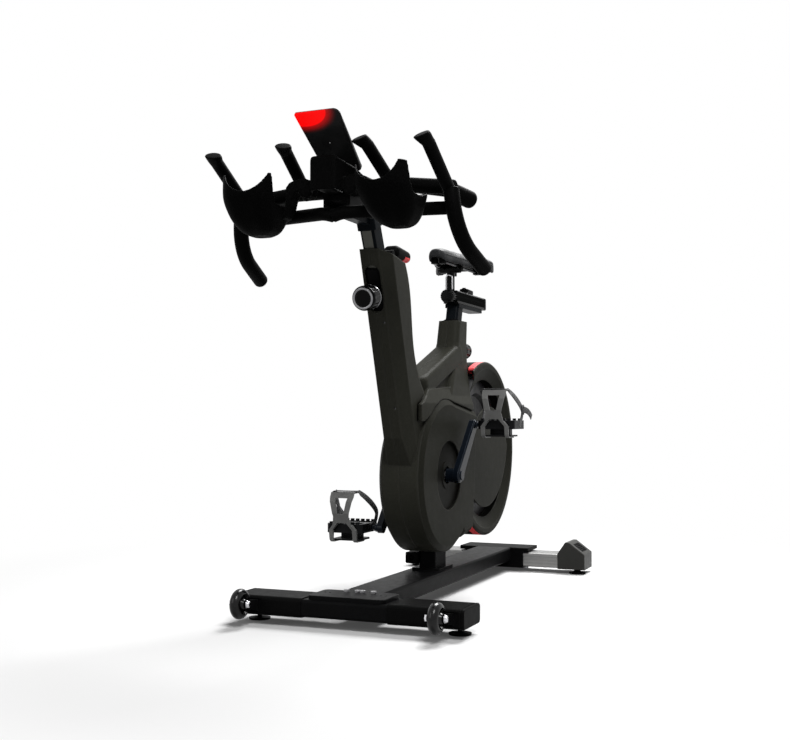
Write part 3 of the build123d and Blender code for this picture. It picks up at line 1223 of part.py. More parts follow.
with BuildPart() as post_head:
    with BuildSketch(post_plane(POST_TOP)) as cap:
        RectangleRounded(POST_WIDTH + 10, POST_DEPTH + 8, 9)
    extrude(cap.sketch, amount=34)
    with BuildSketch(side(-30)) as trim:
        Polygon((-460, 800), (-460, RAIL_TOP - 12), (-240, RAIL_TOP - 12), (-240, 800), align=None)
    extrude(trim.sketch, amount=60, mode=Mode.INTERSECT)
    with BuildSketch(front(RAIL_Y1)) as rail:
        with Locations((0, RAIL_TOP - 12)):
            Polygon((-RAIL_HALF, 0), (-RAIL_HALF, 6), (-RAIL_HALF - 6, 8), (-RAIL_HALF - 6, 16),
                     (RAIL_HALF + 6, 16), (RAIL_HALF + 6, 8), (RAIL_HALF, 6), (RAIL_HALF, 0), align=None)
    extrude(rail.sketch, amount=RAIL_Y1 - RAIL_Y0)
    block(-12, 12, RAIL_Y0 + 2, RAIL_Y1 - 20, HEAD_Z0 + 4, RAIL_TOP - 12)

with BuildPart() as post_weldment:
    add(handlebar_post.part)
    add(post_head.part)
finish(post_weldment.part, "handlebar_post")

# ---- handlebar: slide block, tubes and grips ----

CARRIAGE_Y0, CARRIAGE_Y1, CARRIAGE_Z0, CARRIAGE_Z1, CARRIAGE_HALF = -506.0, -388.0, 888.5, 924.0, 31.0
with BuildPart() as slide_block:
    block(-CARRIAGE_HALF, CARRIAGE_HALF, CARRIAGE_Y0, CARRIAGE_Y1, CARRIAGE_Z0, CARRIAGE_Z1)
    fillet(slide_block.edges().filter_by(Axis.Y), 5)
    with BuildSketch(front(CARRIAGE_Y1 + 1)) as channel:
        with Locations((0, RAIL_TOP - 12)):
            play = SLIDE
            Polygon(
                (-RAIL_HALF - play, -10), (-RAIL_HALF - play, 6 - play), (-RAIL_HALF - 6 - play, 8 - play),
                (-RAIL_HALF - 6 - play, 16 + play), (RAIL_HALF + 6 + play, 16 + play),
                (RAIL_HALF + 6 + play, 8 - play), (RAIL_HALF + play, 6 - play), (RAIL_HALF + play, -10), align=None)
    extrude(channel.sketch, amount=CARRIAGE_Y1 - CARRIAGE_Y0 + 2, mode=Mode.SUBTRACT)
finish(slide_block.part, "slide_block")


def bent_tube(points, radii, radius, mode=Mode.ADD):
    """Round tube along straight runs joined by arcs."""
    with BuildLine() as path:
        if len(points) > 2:
            FilletPolyline(*points, radius=radii)
        else:
            Polyline(*points)
    start = path.line @ 0
    heading = path.line % 0
    with BuildSketch(Plane(origin=start, z_dir=heading)) as section:
        Circle(radius)
    sweep(section.sketch, path=path.line, mode=mode)


def across(point):
    """The same point on the other side."""
    x, y, z = point
    return (-x, y, z)


BAR_Z, BAR_Y = 940.0, -436.0
BAR_CORNER, BAR_SHOULDER = Vector(205, -388, 934), Vector(140, BAR_Y, BAR_Z)
GRIP_DIRECTION = (Vector(246, -312, 915) - BAR_CORNER).normalized()
GRIP_START, GRIP_END, GRIP_CAP = 12.0, 88.0, 4.0      # along the grip, from the bend of the bar
bar_half = [BAR_SHOULDER, BAR_CORNER, BAR_CORNER + GRIP_DIRECTION * (GRIP_END - GRIP_CAP)]
drop_path = [(236, -612, 996), (246, -452, 922), (252, -425, 838), (268, -352, 782), (275, -326, 764)]
horn_path = [(88, -580, 1010), (97, -478, 958), (104, BAR_Y, BAR_Z)]
LOWER_BAR_Z, LOWER_BAR_Y = 876.0, -522.0
lower_path = [(0, LOWER_BAR_Y, LOWER_BAR_Z - 6), (20, LOWER_BAR_Y, LOWER_BAR_Z), (249, -440, 884)]

with BuildPart() as handlebar_frame:
    bent_tube([across(p) for p in reversed(bar_half)] + bar_half, [40, 40, 40, 40], BAR_R)
    for flip in (False, True):
        place = across if flip else tuple
        bent_tube([place(p) for p in drop_path], [45, 80, 60], BAR_R)
        bent_tube([place(p) for p in horn_path], [60], BAR_R)
        bent_tube([place((140, BAR_Y, BAR_Z)), place((244, -452, 924))], None, BAR_R)
        bent_tube([place(lower_path[1]), place(lower_path[2])], None, LOWER_BAR_R)
        bent_tube([place(lower_path[0]), place(lower_path[1])], None, LOWER_BAR_R)
    block(-CARRIAGE_HALF + 4, CARRIAGE_HALF - 4, BAR_Y - 30, BAR_Y + 30, CARRIAGE_Z1, CARRIAGE_Z1 + 12)
finish(handlebar_frame.part, "handlebar_frame")

with BuildPart() as handlebar_grips:
    for flip in (False, True):
        place = across if flip else tuple
        start, end, bore_end = (place(BAR_CORNER + GRIP_DIRECTION * along)
                                for along in (GRIP_START, GRIP_END, GRIP_END - GRIP_CAP + SEAM))
        bent_tube([start, end], None, GRIP_R)
        bent_tube([start, bore_end], None, BAR_R + FIT, Mode.SUBTRACT)
finish(handlebar_grips.part, "handlebar_grips")

# ---- knobs of the two posts ----


def pull_knob(plane_at, tip, head, radius, length):
    """Sprung plunger with a turned head, drawn along its own axis."""
    turned(plane_at(tip), KNOB_STEM_R, head + 4 - tip)
    base = plane_at(head)
    profile_plane = Plane(origin=base.origin, x_dir=base.x_dir, z_dir=-base.y_dir)
    with BuildSketch(profile_plane) as profile:
        with BuildLine():
            Polyline(
                (0, 0), (radius * 0.62, 0), (radius * 0.7, length * 0.14), (radius * 0.86, length * 0.2),
                (radius, length * 0.34), (radius, length - 6), (radius - 4, length), (radius - 9, length),
                (radius - 10, length - 2.5), (0, length - 2.5), close=True,
            )
        make_face()
    revolve(profile.sketch, axis=Axis(base.origin, base.z_dir))
    with BuildSketch(plane_at(head + length * 0.34)) as flutes:
        with PolarLocations(radius + 2.5, 10):
            Circle(4.5)
    extrude(flutes.sketch, amount=length * 0.66 - 8, mode=Mode.SUBTRACT)


with BuildPart() as handlebar_knob:
    pull_knob(knob_plane, -6.5, 21, 24, 53)
finish(handlebar_knob.part, "handlebar_knob")

with BuildPart() as seat_knob:
    pull_knob(seat_knob_plane, -4, 24, 22, 60)
finish(seat_knob.part, "seat_knob")

# ---- resistance lever ----

with BuildPart() as resistance_lever:
    with BuildSketch(side(-LEVER_HALF)) as lever_side:
        with BuildLine():
            Polyline((LEVER_Y, LEVER_Z - 8), (LEVER_Y - 8, LEVER_Z), (-243, 840))
            Spline((-243, 840), (-205, 849), (-158, 849), (-122, 838))
            Spline((-122, 838), (-132, 824), (-176, 817), (LEVER_Y, LEVER_Z - 8))
        make_face()
        with Locations((LEVER_Y, LEVER_Z)):
            Circle(8)
            Circle(LEVER_PIN_R + FIT, mode=Mode.SUBTRACT)
    extrude(lever_side.sketch, amount=2 * LEVER_HALF)
    wings = [(-190, 845), (-158, 847), (-124, 838), (-133, 826), (-176, 819)]
    outline_prism(wings, -19, 19)
    fillet(resistance_lever.edges().filter_by(Axis.X).group_by(Axis.Y)[-1], 4)
    outline_prism([(-176, 810), (-176, 824), (-142, 829), (-128, 810)], -11, 11, Mode.SUBTRACT)
finish(resistance_lever.part, "resistance_lever")

with BuildPart() as lever_insert:
    outline_prism([(-176, 817.5), (-176, 824), (-142, 829), (-139, 824.5)], -11, 11)
finish(lever_insert.part, "lever_insert")

# ---- cup tray: two cups, their arms and the cowl, in one moulding ----

CUP_WALL = 4.0
CUP_RINGS = (
    # height, centre x, centre y, half width, half depth
    (950, 147, -571, 57, 81),
    (905, 148, -572, 55, 74),
    (865, 151, -556, 45, 52),
    (832, 154, -544, 26, 28),
)


def cup(inset):
    rings = []
    for index, (z, x, y, half, depth) in enumerate(CUP_RINGS):
        height = z + (0 if index < 3 else inset)
        with BuildSketch(level(height)) as ring:
            with Locations((x, y)):
                Ellipse(half - inset, depth - inset)
        rings.append(ring.sketch)
    loft(rings)


with BuildPart() as cup_left:
    with BuildPart(mode=Mode.PRIVATE) as cup_inside:
        cup(CUP_WALL)
    cup(0)
    add(cup_inside.part, mode=Mode.SUBTRACT)
    # dipped lip at the front and low lip at the rear
    with BuildSketch(front(-560)) as dip:
        with Locations((CUP_RINGS[0][1], 962)):
            Circle(50)
    extrude(dip.sketch, amount=150, mode=Mode.SUBTRACT)
    with BuildSketch(side(60)) as rear_lip:
        with BuildLine():
            Polyline((-596, 1000), (-596, 950), (-584, 912), (-560, 903), (-470, 905), (-470, 1000), close=True)
        make_face()
    extrude(rear_lip.sketch, amount=180, mode=Mode.SUBTRACT)

COWL_Y0, COWL_Y1, COWL_TOP, COWL_BOTTOM = -562.0, -470.0, 980.0, 918.0
with BuildPart() as cup_tray:
    add(cup_left.part)
    mirror(cup_left.part, about=Plane.YZ)
    # cowl: a visor with swept sides, open behind and below
    for inset, mode in ((0, Mode.ADD), (WALL + 1, Mode.SUBTRACT)):
        with BuildSketch(level(COWL_BOTTOM - inset)) as cowl_plan:
            with BuildLine():
                Polyline((-30 + inset / 2, COWL_Y0 + inset), (30 - inset / 2, COWL_Y0 + inset),
                         (56 - inset, COWL_Y1 + inset), (-56 + inset, COWL_Y1 + inset), close=True)
            make_face()
        extrude(cowl_plan.sketch, amount=COWL_TOP - COWL_BOTTOM, mode=mode)
    with BuildSketch(side(-80)) as cowl_slope:
        with BuildLine():
            Polyline((COWL_Y0 + 20, COWL_TOP + 5), (COWL_Y0 + 30, COWL_TOP - 4), (COWL_Y1 + 5, 940),
                     (COWL_Y1 + 5, COWL_TOP + 5), close=True)
        make_face()
    extrude(cowl_slope.sketch, amount=160, mode=Mode.SUBTRACT)
    # arms from the cowl to the cups
    for sign in (-1, 1):
        with BuildSketch(front(-520)) as arm:
            with BuildLine():
                Polyline(
                    (sign * 34, 936), (sign * 40, 918), (sign * 52, 914), (sign * 66, 926), (sign * 88, 944),
                    (sign * 96, 938), (sign * 97, 880), (sign * 112, 880), (sign * 112, 930), (sign * 98, 956),
                    (sign * 84, 956), (sign * 58, 936), (sign * 48, 932), (sign * 44, 946), close=True,
                )
            make_face()
        extrude(arm.sketch, amount=26)
    block(-16, 16, COWL_Y0 + 2, CARRIAGE_Y0, 918, CARRIAGE_Z1 - 2)
    add(cup_inside.part, mode=Mode.SUBTRACT)
    mirror(cup_inside.part, about=Plane.YZ, mode=Mode.SUBTRACT)
finish(cup_tray.part, "cup_tray")

# ---- console ----

CONSOLE_TILT, CONSOLE_Y, CONSOLE_Z = 36.0, -535.0, 1025.0
CONSOLE_WIDTH, CONSOLE_LENGTH, CONSOLE_THICK = 110.0, 170.0, 18.0
with BuildPart() as console:
    tilt = math.radians(CONSOLE_TILT)
    with BuildSketch(Plane(origin=(0, CONSOLE_Y, CONSOLE_Z), x_dir=(1, 0, 0),
                           z_dir=(0, math.sin(tilt), math.cos(tilt)))) as slab:
        RectangleRounded(CONSOLE_WIDTH, CONSOLE_LENGTH, 9)
    extrude(slab.sketch, amount=CONSOLE_THICK / 2, both=True)
    fillet(console.faces().sort_by(Axis((0, 0, 0), slab.workplanes[0].z_dir))[0].edges(), 3)
    block(-13, 13, -503, -477, CARRIAGE_Z1, 990)
finish(console.part, "console")

# ---- seat post, slider and saddle ----

SEAT_HEAD_Z, SEAT_RAIL_Y0, SEAT_RAIL_Y1 = 742.0, 205.0, 335.0
SLIDER_Y0, SLIDER_Y1, SLIDER_Z0, SLIDER_Z1, SLIDER_HALF = 160.0, 427.0, 752.5, 787.0, 22.5
SEAT_NECK, SEAT_T = 9.0, 14.0
with BuildPart() as seat_post:
    tube_section(seat_plane, SEAT_WIDTH, SEAT_DEPTH, SEAT_CORNER, SEAT_BOTTOM, SEAT_TOP)
    tube_section(seat_plane, SEAT_WIDTH - 6, SEAT_DEPTH - 6, 5, SEAT_BOTTOM - 1, SEAT_TOP - 12, Mode.SUBTRACT)
    block(-20, 20, SEAT_RAIL_Y0, 400, SEAT_HEAD_Z, SEAT_HEAD_Z + 10)
    fillet(seat_post.edges().filter_by(Axis.Z).group_by(Axis.Y)[-1], 8)
    block(-30, 30, 150, 420, SEAT_HEAD_Z + 10, 800, Mode.SUBTRACT)
    with BuildSketch(front(SEAT_RAIL_Y1)) as seat_rail:
        with Locations((0, SEAT_HEAD_Z + 10)):
            Polygon((-SEAT_NECK, 0), (-SEAT_NECK, 6), (-SEAT_T, 8), (-SEAT_T, 16), (SEAT_T, 16), (SEAT_T, 8),
                    (SEAT_NECK, 6), (SEAT_NECK, 0), align=None)
    extrude(seat_rail.sketch, amount=SEAT_RAIL_Y1 - SEAT_RAIL_Y0)
finish(seat_post.part, "seat_post")

SADDLE_PIVOT_Y, SADDLE_PIVOT_Z = 193.0, 845.0
CAM_Y = 300.0
with BuildPart() as seat_slider:
    block(-SLIDER_HALF, SLIDER_HALF, SLIDER_Y0, SLIDER_Y1, SLIDER_Z0, SLIDER_Z1)
    fillet(seat_slider.edges().filter_by(Axis.Y), 4)
    fillet(seat_slider.edges().filter_by(Axis.Z).group_by(Axis.Y)[0], 9)
    with BuildSketch(front(SLIDER_Y1 - 6)) as seat_channel:
        with Locations((0, SEAT_HEAD_Z + 10)):
            play = SLIDE
            Polygon((-SEAT_NECK - play, -1), (-SEAT_NECK - play, 6 - play), (-SEAT_T - play, 8 - play),
                    (-SEAT_T - play, 16 + play), (SEAT_T + play, 16 + play), (SEAT_T + play, 8 - play),
                    (SEAT_NECK + play, 6 - play), (SEAT_NECK + play, -1), align=None)
    extrude(seat_channel.sketch, amount=SLIDER_Y1 - SLIDER_Y0 - 12, mode=Mode.SUBTRACT)
    # saddle pin with a cross barrel on its top
    pin(0, SADDLE_PIVOT_Y, SLIDER_Z1, SADDLE_PIVOT_Z, 10.5)
    disc(-13, 13, SADDLE_PIVOT_Y, SADDLE_PIVOT_Z, 12)
    disc(-13, 13, SADDLE_PIVOT_Y, SADDLE_PIVOT_Z, BOLT_R + FIT, Mode.SUBTRACT)
    # threaded stud of the cam lever
    pin(0, CAM_Y, SLIDER_Z1, SLIDER_Z1 + 4, 12)
    pin(0, CAM_Y, SLIDER_Z1 + 4, SLIDER_Z1 + 18, 5)
finish(seat_slider.part, "seat_slider")

with BuildPart() as slider_lever:
    with BuildSketch(level(SLIDER_Z1 + 4)) as lever_plan:
        with Locations((0, CAM_Y)):
            Circle(12)
        with Locations((0, CAM_Y + 52)):
            Circle(8)
        make_hull()
        with Locations((0, CAM_Y)):
            Circle(5 + FIT, mode=Mode.SUBTRACT)
    extrude(lever_plan.sketch, amount=11)
    fillet(slider_lever.faces().sort_by(Axis.Z)[-1].outer_wire().edges(), 3)
finish(slider_lever.part, "slider_lever")

RAIL_X, RAIL_R = 22.0, 3.5
with BuildPart() as saddle_clamp:
    for sign in (-1, 1):
        with BuildSketch(side(sign * (13 + SLIDE))) as cheek:
            with Locations((SADDLE_PIVOT_Y, SADDLE_PIVOT_Z)):
                Circle(12)
            with Locations((SADDLE_PIVOT_Y, SADDLE_PIVOT_Z + 3)):
                Rectangle(44, 12)
        extrude(cheek.sketch, amount=sign * 14)
    disc(-27, 27, SADDLE_PIVOT_Y, SADDLE_PIVOT_Z, BOLT_R)
    for sign in (-1, 1):
        disc(sign * 27, sign * 32, SADDLE_PIVOT_Y, SADDLE_PIVOT_Z, 7.5)
        with BuildSketch(front(SADDLE_PIVOT_Y + 40)) as rail_bore:
            with Locations((sign * RAIL_X, SADDLE_PIVOT_Z + 4)):
                Circle(RAIL_R + FIT)
        extrude(rail_bore.sketch, amount=80, mode=Mode.SUBTRACT)
finish(saddle_clamp.part, "saddle_clamp")

RAIL_Z = SADDLE_PIVOT_Z + 4


def saddle_rail(sign, radius, mode=Mode.ADD):
    """One of the two rails, or its bore, from the nose to the rear of the saddle."""
    route = [(sign * 9, 96, RAIL_Z + 5), (sign * RAIL_X, 142, RAIL_Z), (sign * RAIL_X, 245, RAIL_Z),
             (sign * 36, 314, RAIL_Z - 4)]
    bent_tube(route, [30, 30], radius, mode)


with BuildPart() as saddle_rails:
    for sign in (-1, 1):
        saddle_rail(sign, RAIL_R)
finish(saddle_rails.part, "saddle_rails")

SADDLE_SECTIONS = (
    # y, half width, top, bottom, corner
    (72, 14, 878, 866, 5.5),
    (84, 21, 883, 864, 9),
    (130, 26, 886, 864, 10),
    (190, 34, 886, 862, 11),
    (245, 60, 886, 858, 12),
    (295, 84, 889, 854, 14),
    (330, 82, 889, 857, 14),
    (342, 68, 886, 863, 10),
)
with BuildPart() as saddle_pad:
    loft_faces = []
    for y, half, top, bottom, corner in SADDLE_SECTIONS:
        with BuildSketch(front(y)) as saddle_section:
            with Locations((0, (top + bottom) / 2)):
                RectangleRounded(2 * half, top - bottom, corner)
        loft_faces.append(saddle_section.sketch)
    loft(loft_faces, ruled=True)
finish(saddle_pad.part, "saddle_pad")

SHELL_THICK = 3.0
with BuildPart() as saddle_base:
    shell_faces = []
    for y, half, top, bottom, corner in SADDLE_SECTIONS[1:-1]:
        with BuildSketch(front(y)) as shell_section:
            with Locations((0, bottom - SHELL_THICK / 2)):
                RectangleRounded(1.7 * half, SHELL_THICK, 1.4)
        shell_faces.append(shell_section.sketch)
    loft(shell_faces, ruled=True)
    # sockets for the rail ends
    for sign in (-1, 1):
        block(sign * 11 - 7, sign * 11 + 7, 94, 110, RAIL_Z - 2, 863)
        block(sign * 35 - 8, sign * 35 + 8, 296, 317, RAIL_Z - 9, 852)
        saddle_rail(sign, RAIL_R + FIT, Mode.SUBTRACT)
finish(saddle_base.part, "saddle_base")
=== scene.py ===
import math

import bmesh
import bpy
from mathutils import Euler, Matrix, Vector
from mathutils.bvhtree import BVHTree


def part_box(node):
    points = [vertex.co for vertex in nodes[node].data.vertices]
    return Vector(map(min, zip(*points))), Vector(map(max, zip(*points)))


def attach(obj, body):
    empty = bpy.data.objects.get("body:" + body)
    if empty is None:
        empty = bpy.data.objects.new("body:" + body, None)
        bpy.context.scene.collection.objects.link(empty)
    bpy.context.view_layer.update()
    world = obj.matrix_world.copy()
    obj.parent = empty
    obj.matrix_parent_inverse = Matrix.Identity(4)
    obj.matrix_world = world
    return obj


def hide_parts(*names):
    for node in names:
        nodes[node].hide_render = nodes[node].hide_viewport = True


# An indoor cycle. Lengths are in millimetres until a mesh is made, +Z is up, +X is on the rider's left.

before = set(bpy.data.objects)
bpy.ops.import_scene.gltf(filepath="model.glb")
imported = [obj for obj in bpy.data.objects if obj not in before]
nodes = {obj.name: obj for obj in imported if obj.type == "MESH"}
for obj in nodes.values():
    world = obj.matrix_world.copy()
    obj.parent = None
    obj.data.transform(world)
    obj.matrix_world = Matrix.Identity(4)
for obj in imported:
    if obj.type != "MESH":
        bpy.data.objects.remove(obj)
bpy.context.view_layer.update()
scene = bpy.context.scene
MM = 0.001
X_WAY, Y_WAY, Z_WAY = Vector((1, 0, 0)), Vector((0, 1, 0)), Vector((0, 0, 1))


# ---- materials ----


class Graph:
    """The nodes and links of one material or world."""

    def __init__(self, owner):
        owner.use_nodes = True
        self.tree = owner.node_tree

    def put(self, value, socket):
        """Links an output to a socket, or gives the socket a value."""
        if isinstance(value, bpy.types.NodeSocket):
            self.tree.links.new(value, socket)
        elif socket.type == "RGBA":
            socket.default_value = (*rgb(value), 1)
        else:
            socket.default_value = value

    def fill(self, node, **sockets):
        for socket, value in sockets.items():
            self.put(value, node.inputs[socket.replace("_", " ")])
        return node

    def node(self, kind, **sockets):
        return self.fill(self.tree.nodes.new("ShaderNode" + kind), **sockets)

    def math(self, operation, *values, kind="Math", result="Value"):
        node = self.node(kind)
        node.operation = operation
        for socket, value in zip(node.inputs, values):
            self.put(value, socket)
        return node.outputs[result]

    def remap(self, value, low, high, to_low=0, to_high=1, smooth=False):
        node = self.node("MapRange", Value=value, From_Min=low, From_Max=high, To_Min=to_low, To_Max=to_high)
        node.interpolation_type = "SMOOTHSTEP" if smooth else "LINEAR"
        return node.outputs["Result"]

    def joined(self, first, second, factor=None):
        """The sum of two shaders, or their blend by a factor."""
        node = self.node("AddShader") if factor is None else self.node("MixShader", Fac=factor)
        for shader, socket in zip((first, second), list(node.inputs)[-2:]):
            self.put(shader.outputs[0], socket)
        return node


class Shade(Graph):
    """A Principled material whose colour, gloss and relief come from nodes."""

    def __init__(self, name, stretch=(1, 1, 1), **sockets):
        self.material = bpy.data.materials.new(name)
        super().__init__(self.material)
        self.shader = self.fill(self.tree.nodes["Principled BSDF"], **sockets)
        self.place = self.node("TexCoord").outputs["Object"]
        self.stretched = self.node("Mapping", Vector=self.place, Scale=stretch).outputs["Vector"]

    def noise(self, scale, detail, vector=None):
        return self.node("TexNoise", Scale=scale, Detail=detail, Vector=vector or self.place).outputs["Fac"]

    def clouds(self, scale, detail, low=0, high=1, vector=None):
        """Noise whose usual values run from low to high."""
        return self.remap(self.noise(scale, detail, vector), 0.3, 0.7, low, high)

    def mix(self, factor, first, second):
        node = self.node("Mix")
        node.data_type = "RGBA"
        self.fill(node, Factor=factor)
        for socket, value in zip([s for s in node.inputs if s.type == "RGBA"], (first, second)):
            self.put(value, socket)
        return [s for s in node.outputs if s.type == "RGBA"][0]

    def along(self, direction, origin=(0, 0, 0)):
        """How far a point lies from origin along a direction, in metres."""
        offset = self.math("SUBTRACT", self.place, origin, kind="VectorMath", result="Vector")
        return self.math("DOT_PRODUCT", offset, direction, kind="VectorMath")

    def relief(self, height, strength, distance=0.0004, normal=None):
        node = self.node("Bump", Strength=strength, Distance=distance, Height=height)
        if normal:
            self.fill(node, Normal=normal)
        return node.outputs["Normal"]

    def rounded(self, radius):
        """The normal softened over the edges, and how flat the surface is there."""
        bevel = self.node("Bevel", Radius=radius)
        bevel.samples = 4
        soft, hard = bevel.outputs["Normal"], self.node("NewGeometry").outputs["Normal"]
        return soft, self.math("DOT_PRODUCT", soft, hard, kind="VectorMath")

    def finish(self, colour, rough, normal):
        self.fill(self.shader, Base_Color=colour, Roughness=rough, Normal=normal)
        return self.material


def rgb(colour):
    """Red, green and blue; one number is a plain grey."""
    return colour if isinstance(colour, tuple) else (colour, colour, colour)


def tinted(colour, factor, lift=0):
    return tuple(min(1, c * factor + lift) for c in colour)


CLOUD_SCALE, GLOSS_SCALE = 22, 60
FLECK_FROM, FLECK_TO = 0.55, 0.78
FLAT, SHARP = 0.995, 0.8


def surface(name, colour, rough, specular=0.5, metallic=0, cloud=0.12, fleck=0, fleck_scale=1400,
            bump=0.2, bump_scale=900, edge=0, highlight_and_wear=None, edge_size=0.0009, patchy=0.03,
            stretch=(1, 1, 1), on=""):
    """Cloudy colour, flecks, edges lightened by a painted highlight, uneven gloss and fine relief; on lists
    its CAD nodes.
    """
    shade = Shade(name, stretch, Specular_IOR_Level=specular, Metallic=metallic)
    colour = rgb(colour)
    tone = shade.mix(shade.clouds(CLOUD_SCALE, 5), tinted(colour, 1 - cloud), tinted(colour, 1 + cloud))
    if fleck:
        grains = shade.remap(shade.noise(fleck_scale, 1, shade.stretched), FLECK_FROM, FLECK_TO, 0, fleck)
        tone = shade.mix(grains, tone, tinted(colour, 3, 0.02))
    normal, flatness = shade.rounded(edge_size)
    # Lightens every rim towards a paler colour: a painted highlight.
    if edge:
        edge_highlight_mask = shade.remap(flatness, FLAT, SHARP, 0, edge)
        tone = shade.mix(edge_highlight_mask, tone, highlight_and_wear or tinted(colour, 2.2, 0.012))
    glossiest, dullest = max(0.02, rough - patchy), min(1, rough + patchy)
    uneven = shade.clouds(GLOSS_SCALE, 4, glossiest, dullest, shade.stretched)
    grain = shade.relief(shade.noise(bump_scale, 3, shade.stretched), bump, normal=normal)
    material = shade.finish(tone, uneven, grain)
    for name in on.split():
        nodes[name].data.materials.clear()
        nodes[name].data.materials.append(material)
    return material


def leather(name, colour):
    """Smooth synthetic leather: pebbled grain, faint creases and a satin sheen."""
    shade = Shade(name, Specular_IOR_Level=0.05, Sheen_Weight=0.01, Sheen_Roughness=0.4)
    cells = shade.node("TexVoronoi", Scale=620, Vector=shade.place)
    cells.feature = "DISTANCE_TO_EDGE"
    grain = shade.remap(cells.outputs["Distance"], 0, 0.25)
    highlight_and_wear = shade.remap(shade.noise(14, 5), 0.35, 0.7)
    tone = shade.mix(highlight_and_wear, tinted(colour, 0.8), tinted(colour, 1.3))
    tone = shade.mix(shade.remap(grain, 0, 0.5, 0.35, 0), tone, tinted(colour, 0.45))
    crease = shade.math("MULTIPLY", shade.noise(90, 6), 0.8)
    height = shade.math("ADD", shade.math("MULTIPLY", grain, 0.5), crease)
    return shade.finish(tone, shade.clouds(45, 4, 0.36, 0.52), shade.relief(height, 0.35, 0.0003))


RIB_WAYS, RIB_PITCH = ((0.4, 0.75, 0.65), (0.4, -0.65, 0.75)), 3600


def webbing(name, colour):
    """Woven strap: diagonal ribs both ways."""
    shade = Shade(name, Specular_IOR_Level=0.2, Sheen_Weight=0.2, Sheen_Roughness=0.5)
    ribs = [shade.math("SINE", shade.math("MULTIPLY", shade.along(way), RIB_PITCH)) for way in RIB_WAYS]
    weave = shade.math("MULTIPLY", *ribs)
    tone = shade.mix(shade.remap(weave, -0.4, 1), tinted(colour, 0.5), tinted(colour, 1.7))
    fibres = shade.remap(shade.noise(700, 2), 0.5, 0.8, 0, 0.3)
    tone = shade.mix(fibres, tone, tinted(colour, 2.4))
    return shade.finish(tone, shade.remap(weave, -1, 1, 0.9, 0.6), shade.relief(weave, 0.6, 0.0004))


CONSOLE_TILT = math.radians(36)
CONSOLE_MIDDLE = Vector((0, -535, 1025))
CONSOLE_UP = Vector((0, -math.cos(CONSOLE_TILT), math.sin(CONSOLE_TILT)))
CONSOLE_OUT = Vector((0, math.sin(CONSOLE_TILT), math.cos(CONSOLE_TILT)))
GLOW_SHIFT, GLOW_HALF, GLOW_TOP, GLOW_DEPTH = 30, 56, 88, 43
GLOW_FRONT, GLOW_EDGE, HALO_EDGE, HALO_LEVEL = (-0.003, -0.0046), 0.9, 1.45, 0.62


def painted_glow_console(name):
    """Satin black case with a painted pool of red light, which the case itself gives off, on the side that
    faces away from the rider.
    """
    shade = Shade(name, Specular_IOR_Level=0.1)
    middle = tuple(CONSOLE_MIDDLE * MM)
    across = shade.math("ADD", shade.along((1, 0, 0)), GLOW_SHIFT * MM)
    down = shade.math("SUBTRACT", shade.along(tuple(CONSOLE_UP), middle), GLOW_TOP * MM)
    squares = []
    for offset, reach in ((across, GLOW_HALF), (down, GLOW_DEPTH)):
        share = shade.math("DIVIDE", offset, reach * MM)
        squares.append(shade.math("MULTIPLY", share, share))
    distance = shade.math("SQRT", shade.math("ADD", *squares))
    pool = shade.remap(distance, 1, GLOW_EDGE, smooth=True)
    halo = shade.remap(distance, HALO_EDGE, GLOW_EDGE, 0, HALO_LEVEL, smooth=True)
    front = shade.remap(shade.along(tuple(CONSOLE_OUT), middle), *GLOW_FRONT)
    lit = shade.math("MULTIPLY", shade.math("MAXIMUM", pool, shade.math("MULTIPLY", halo, halo)), front)
    strength = shade.math("MULTIPLY", lit, shade.clouds(800, 2, 0.94, 1))
    # The case glows red in this pool: painted light, not a lamp.
    shade.fill(shade.shader, Emission_Color=(1, 0, 0), Emission_Strength=strength)
    tone = shade.mix(shade.clouds(30, 4), (0.004, 0.004, 0.0042), (0.0075, 0.0075, 0.0078))
    tone = shade.mix(lit, tone, 0)
    # Lightens the case's rims: a painted highlight.
    normal, flatness = shade.rounded(0.001)
    tone = shade.mix(shade.remap(flatness, FLAT, SHARP, 0, 0.5), tone, 0.03)
    grain = shade.relief(shade.noise(1500, 2), 0.12, normal=normal)
    return shade.finish(tone, shade.clouds(50, 4, 0.34, 0.46), grain)


GRAINED = {"fleck_scale": 1100, "bump_scale": 1500}
surface(
    "shell_plastic", (0.0215, 0.0215, 0.017), 0.4, 0.02, cloud=0.07, fleck=0.5, edge=0.45,
    highlight_and_wear=(0.055, 0.055, 0.048), edge_size=0.006, on="body_shell_left body_shell_right", **GRAINED)
surface(
    "cover_plastic", (0.015, 0.0151, 0.012), 0.42, 0.014, cloud=0.07, fleck=0.5, edge=0.6,
    highlight_and_wear=(0.075, 0.075, 0.066), edge_size=0.004, on="side_cover_left side_cover_right", **GRAINED)
surface(
    "dark_plastic", (0.007, 0.007, 0.0058), 0.44, 0.015, fleck=0.4, edge=0.5, highlight_and_wear=(0.03, 0.03, 0.028),
    on="crank_discs flywheel_band", **GRAINED)
surface(
    "black_paint", (0.0034, 0.0034, 0.0036), 0.36, 0.016, cloud=0.08, fleck=0.3, bump=0.15, edge=0.4,
    highlight_and_wear=0.02, on="base_frame front_foot wheel_forks main_frame slide_block")
surface(
    "post_paint", (0.004, 0.0052, 0.0065), 0.3, 0.012, fleck=0.2, bump=0.1, edge=0.5,
    highlight_and_wear=(0.03, 0.035, 0.04), on="handlebar_post seat_post")
black_plastic = surface(
    "black_plastic", 0.0028, 0.42, 0.012, fleck=0.25, edge=0.4, highlight_and_wear=0.02,
    on="front_foot_caps rear_joint_sleeve guide_bushes crank_pulley slider_lever saddle_base socket_box "
       "levelling_foot_front_left levelling_foot_front_right "
       "levelling_foot_rear_left levelling_foot_rear_right")
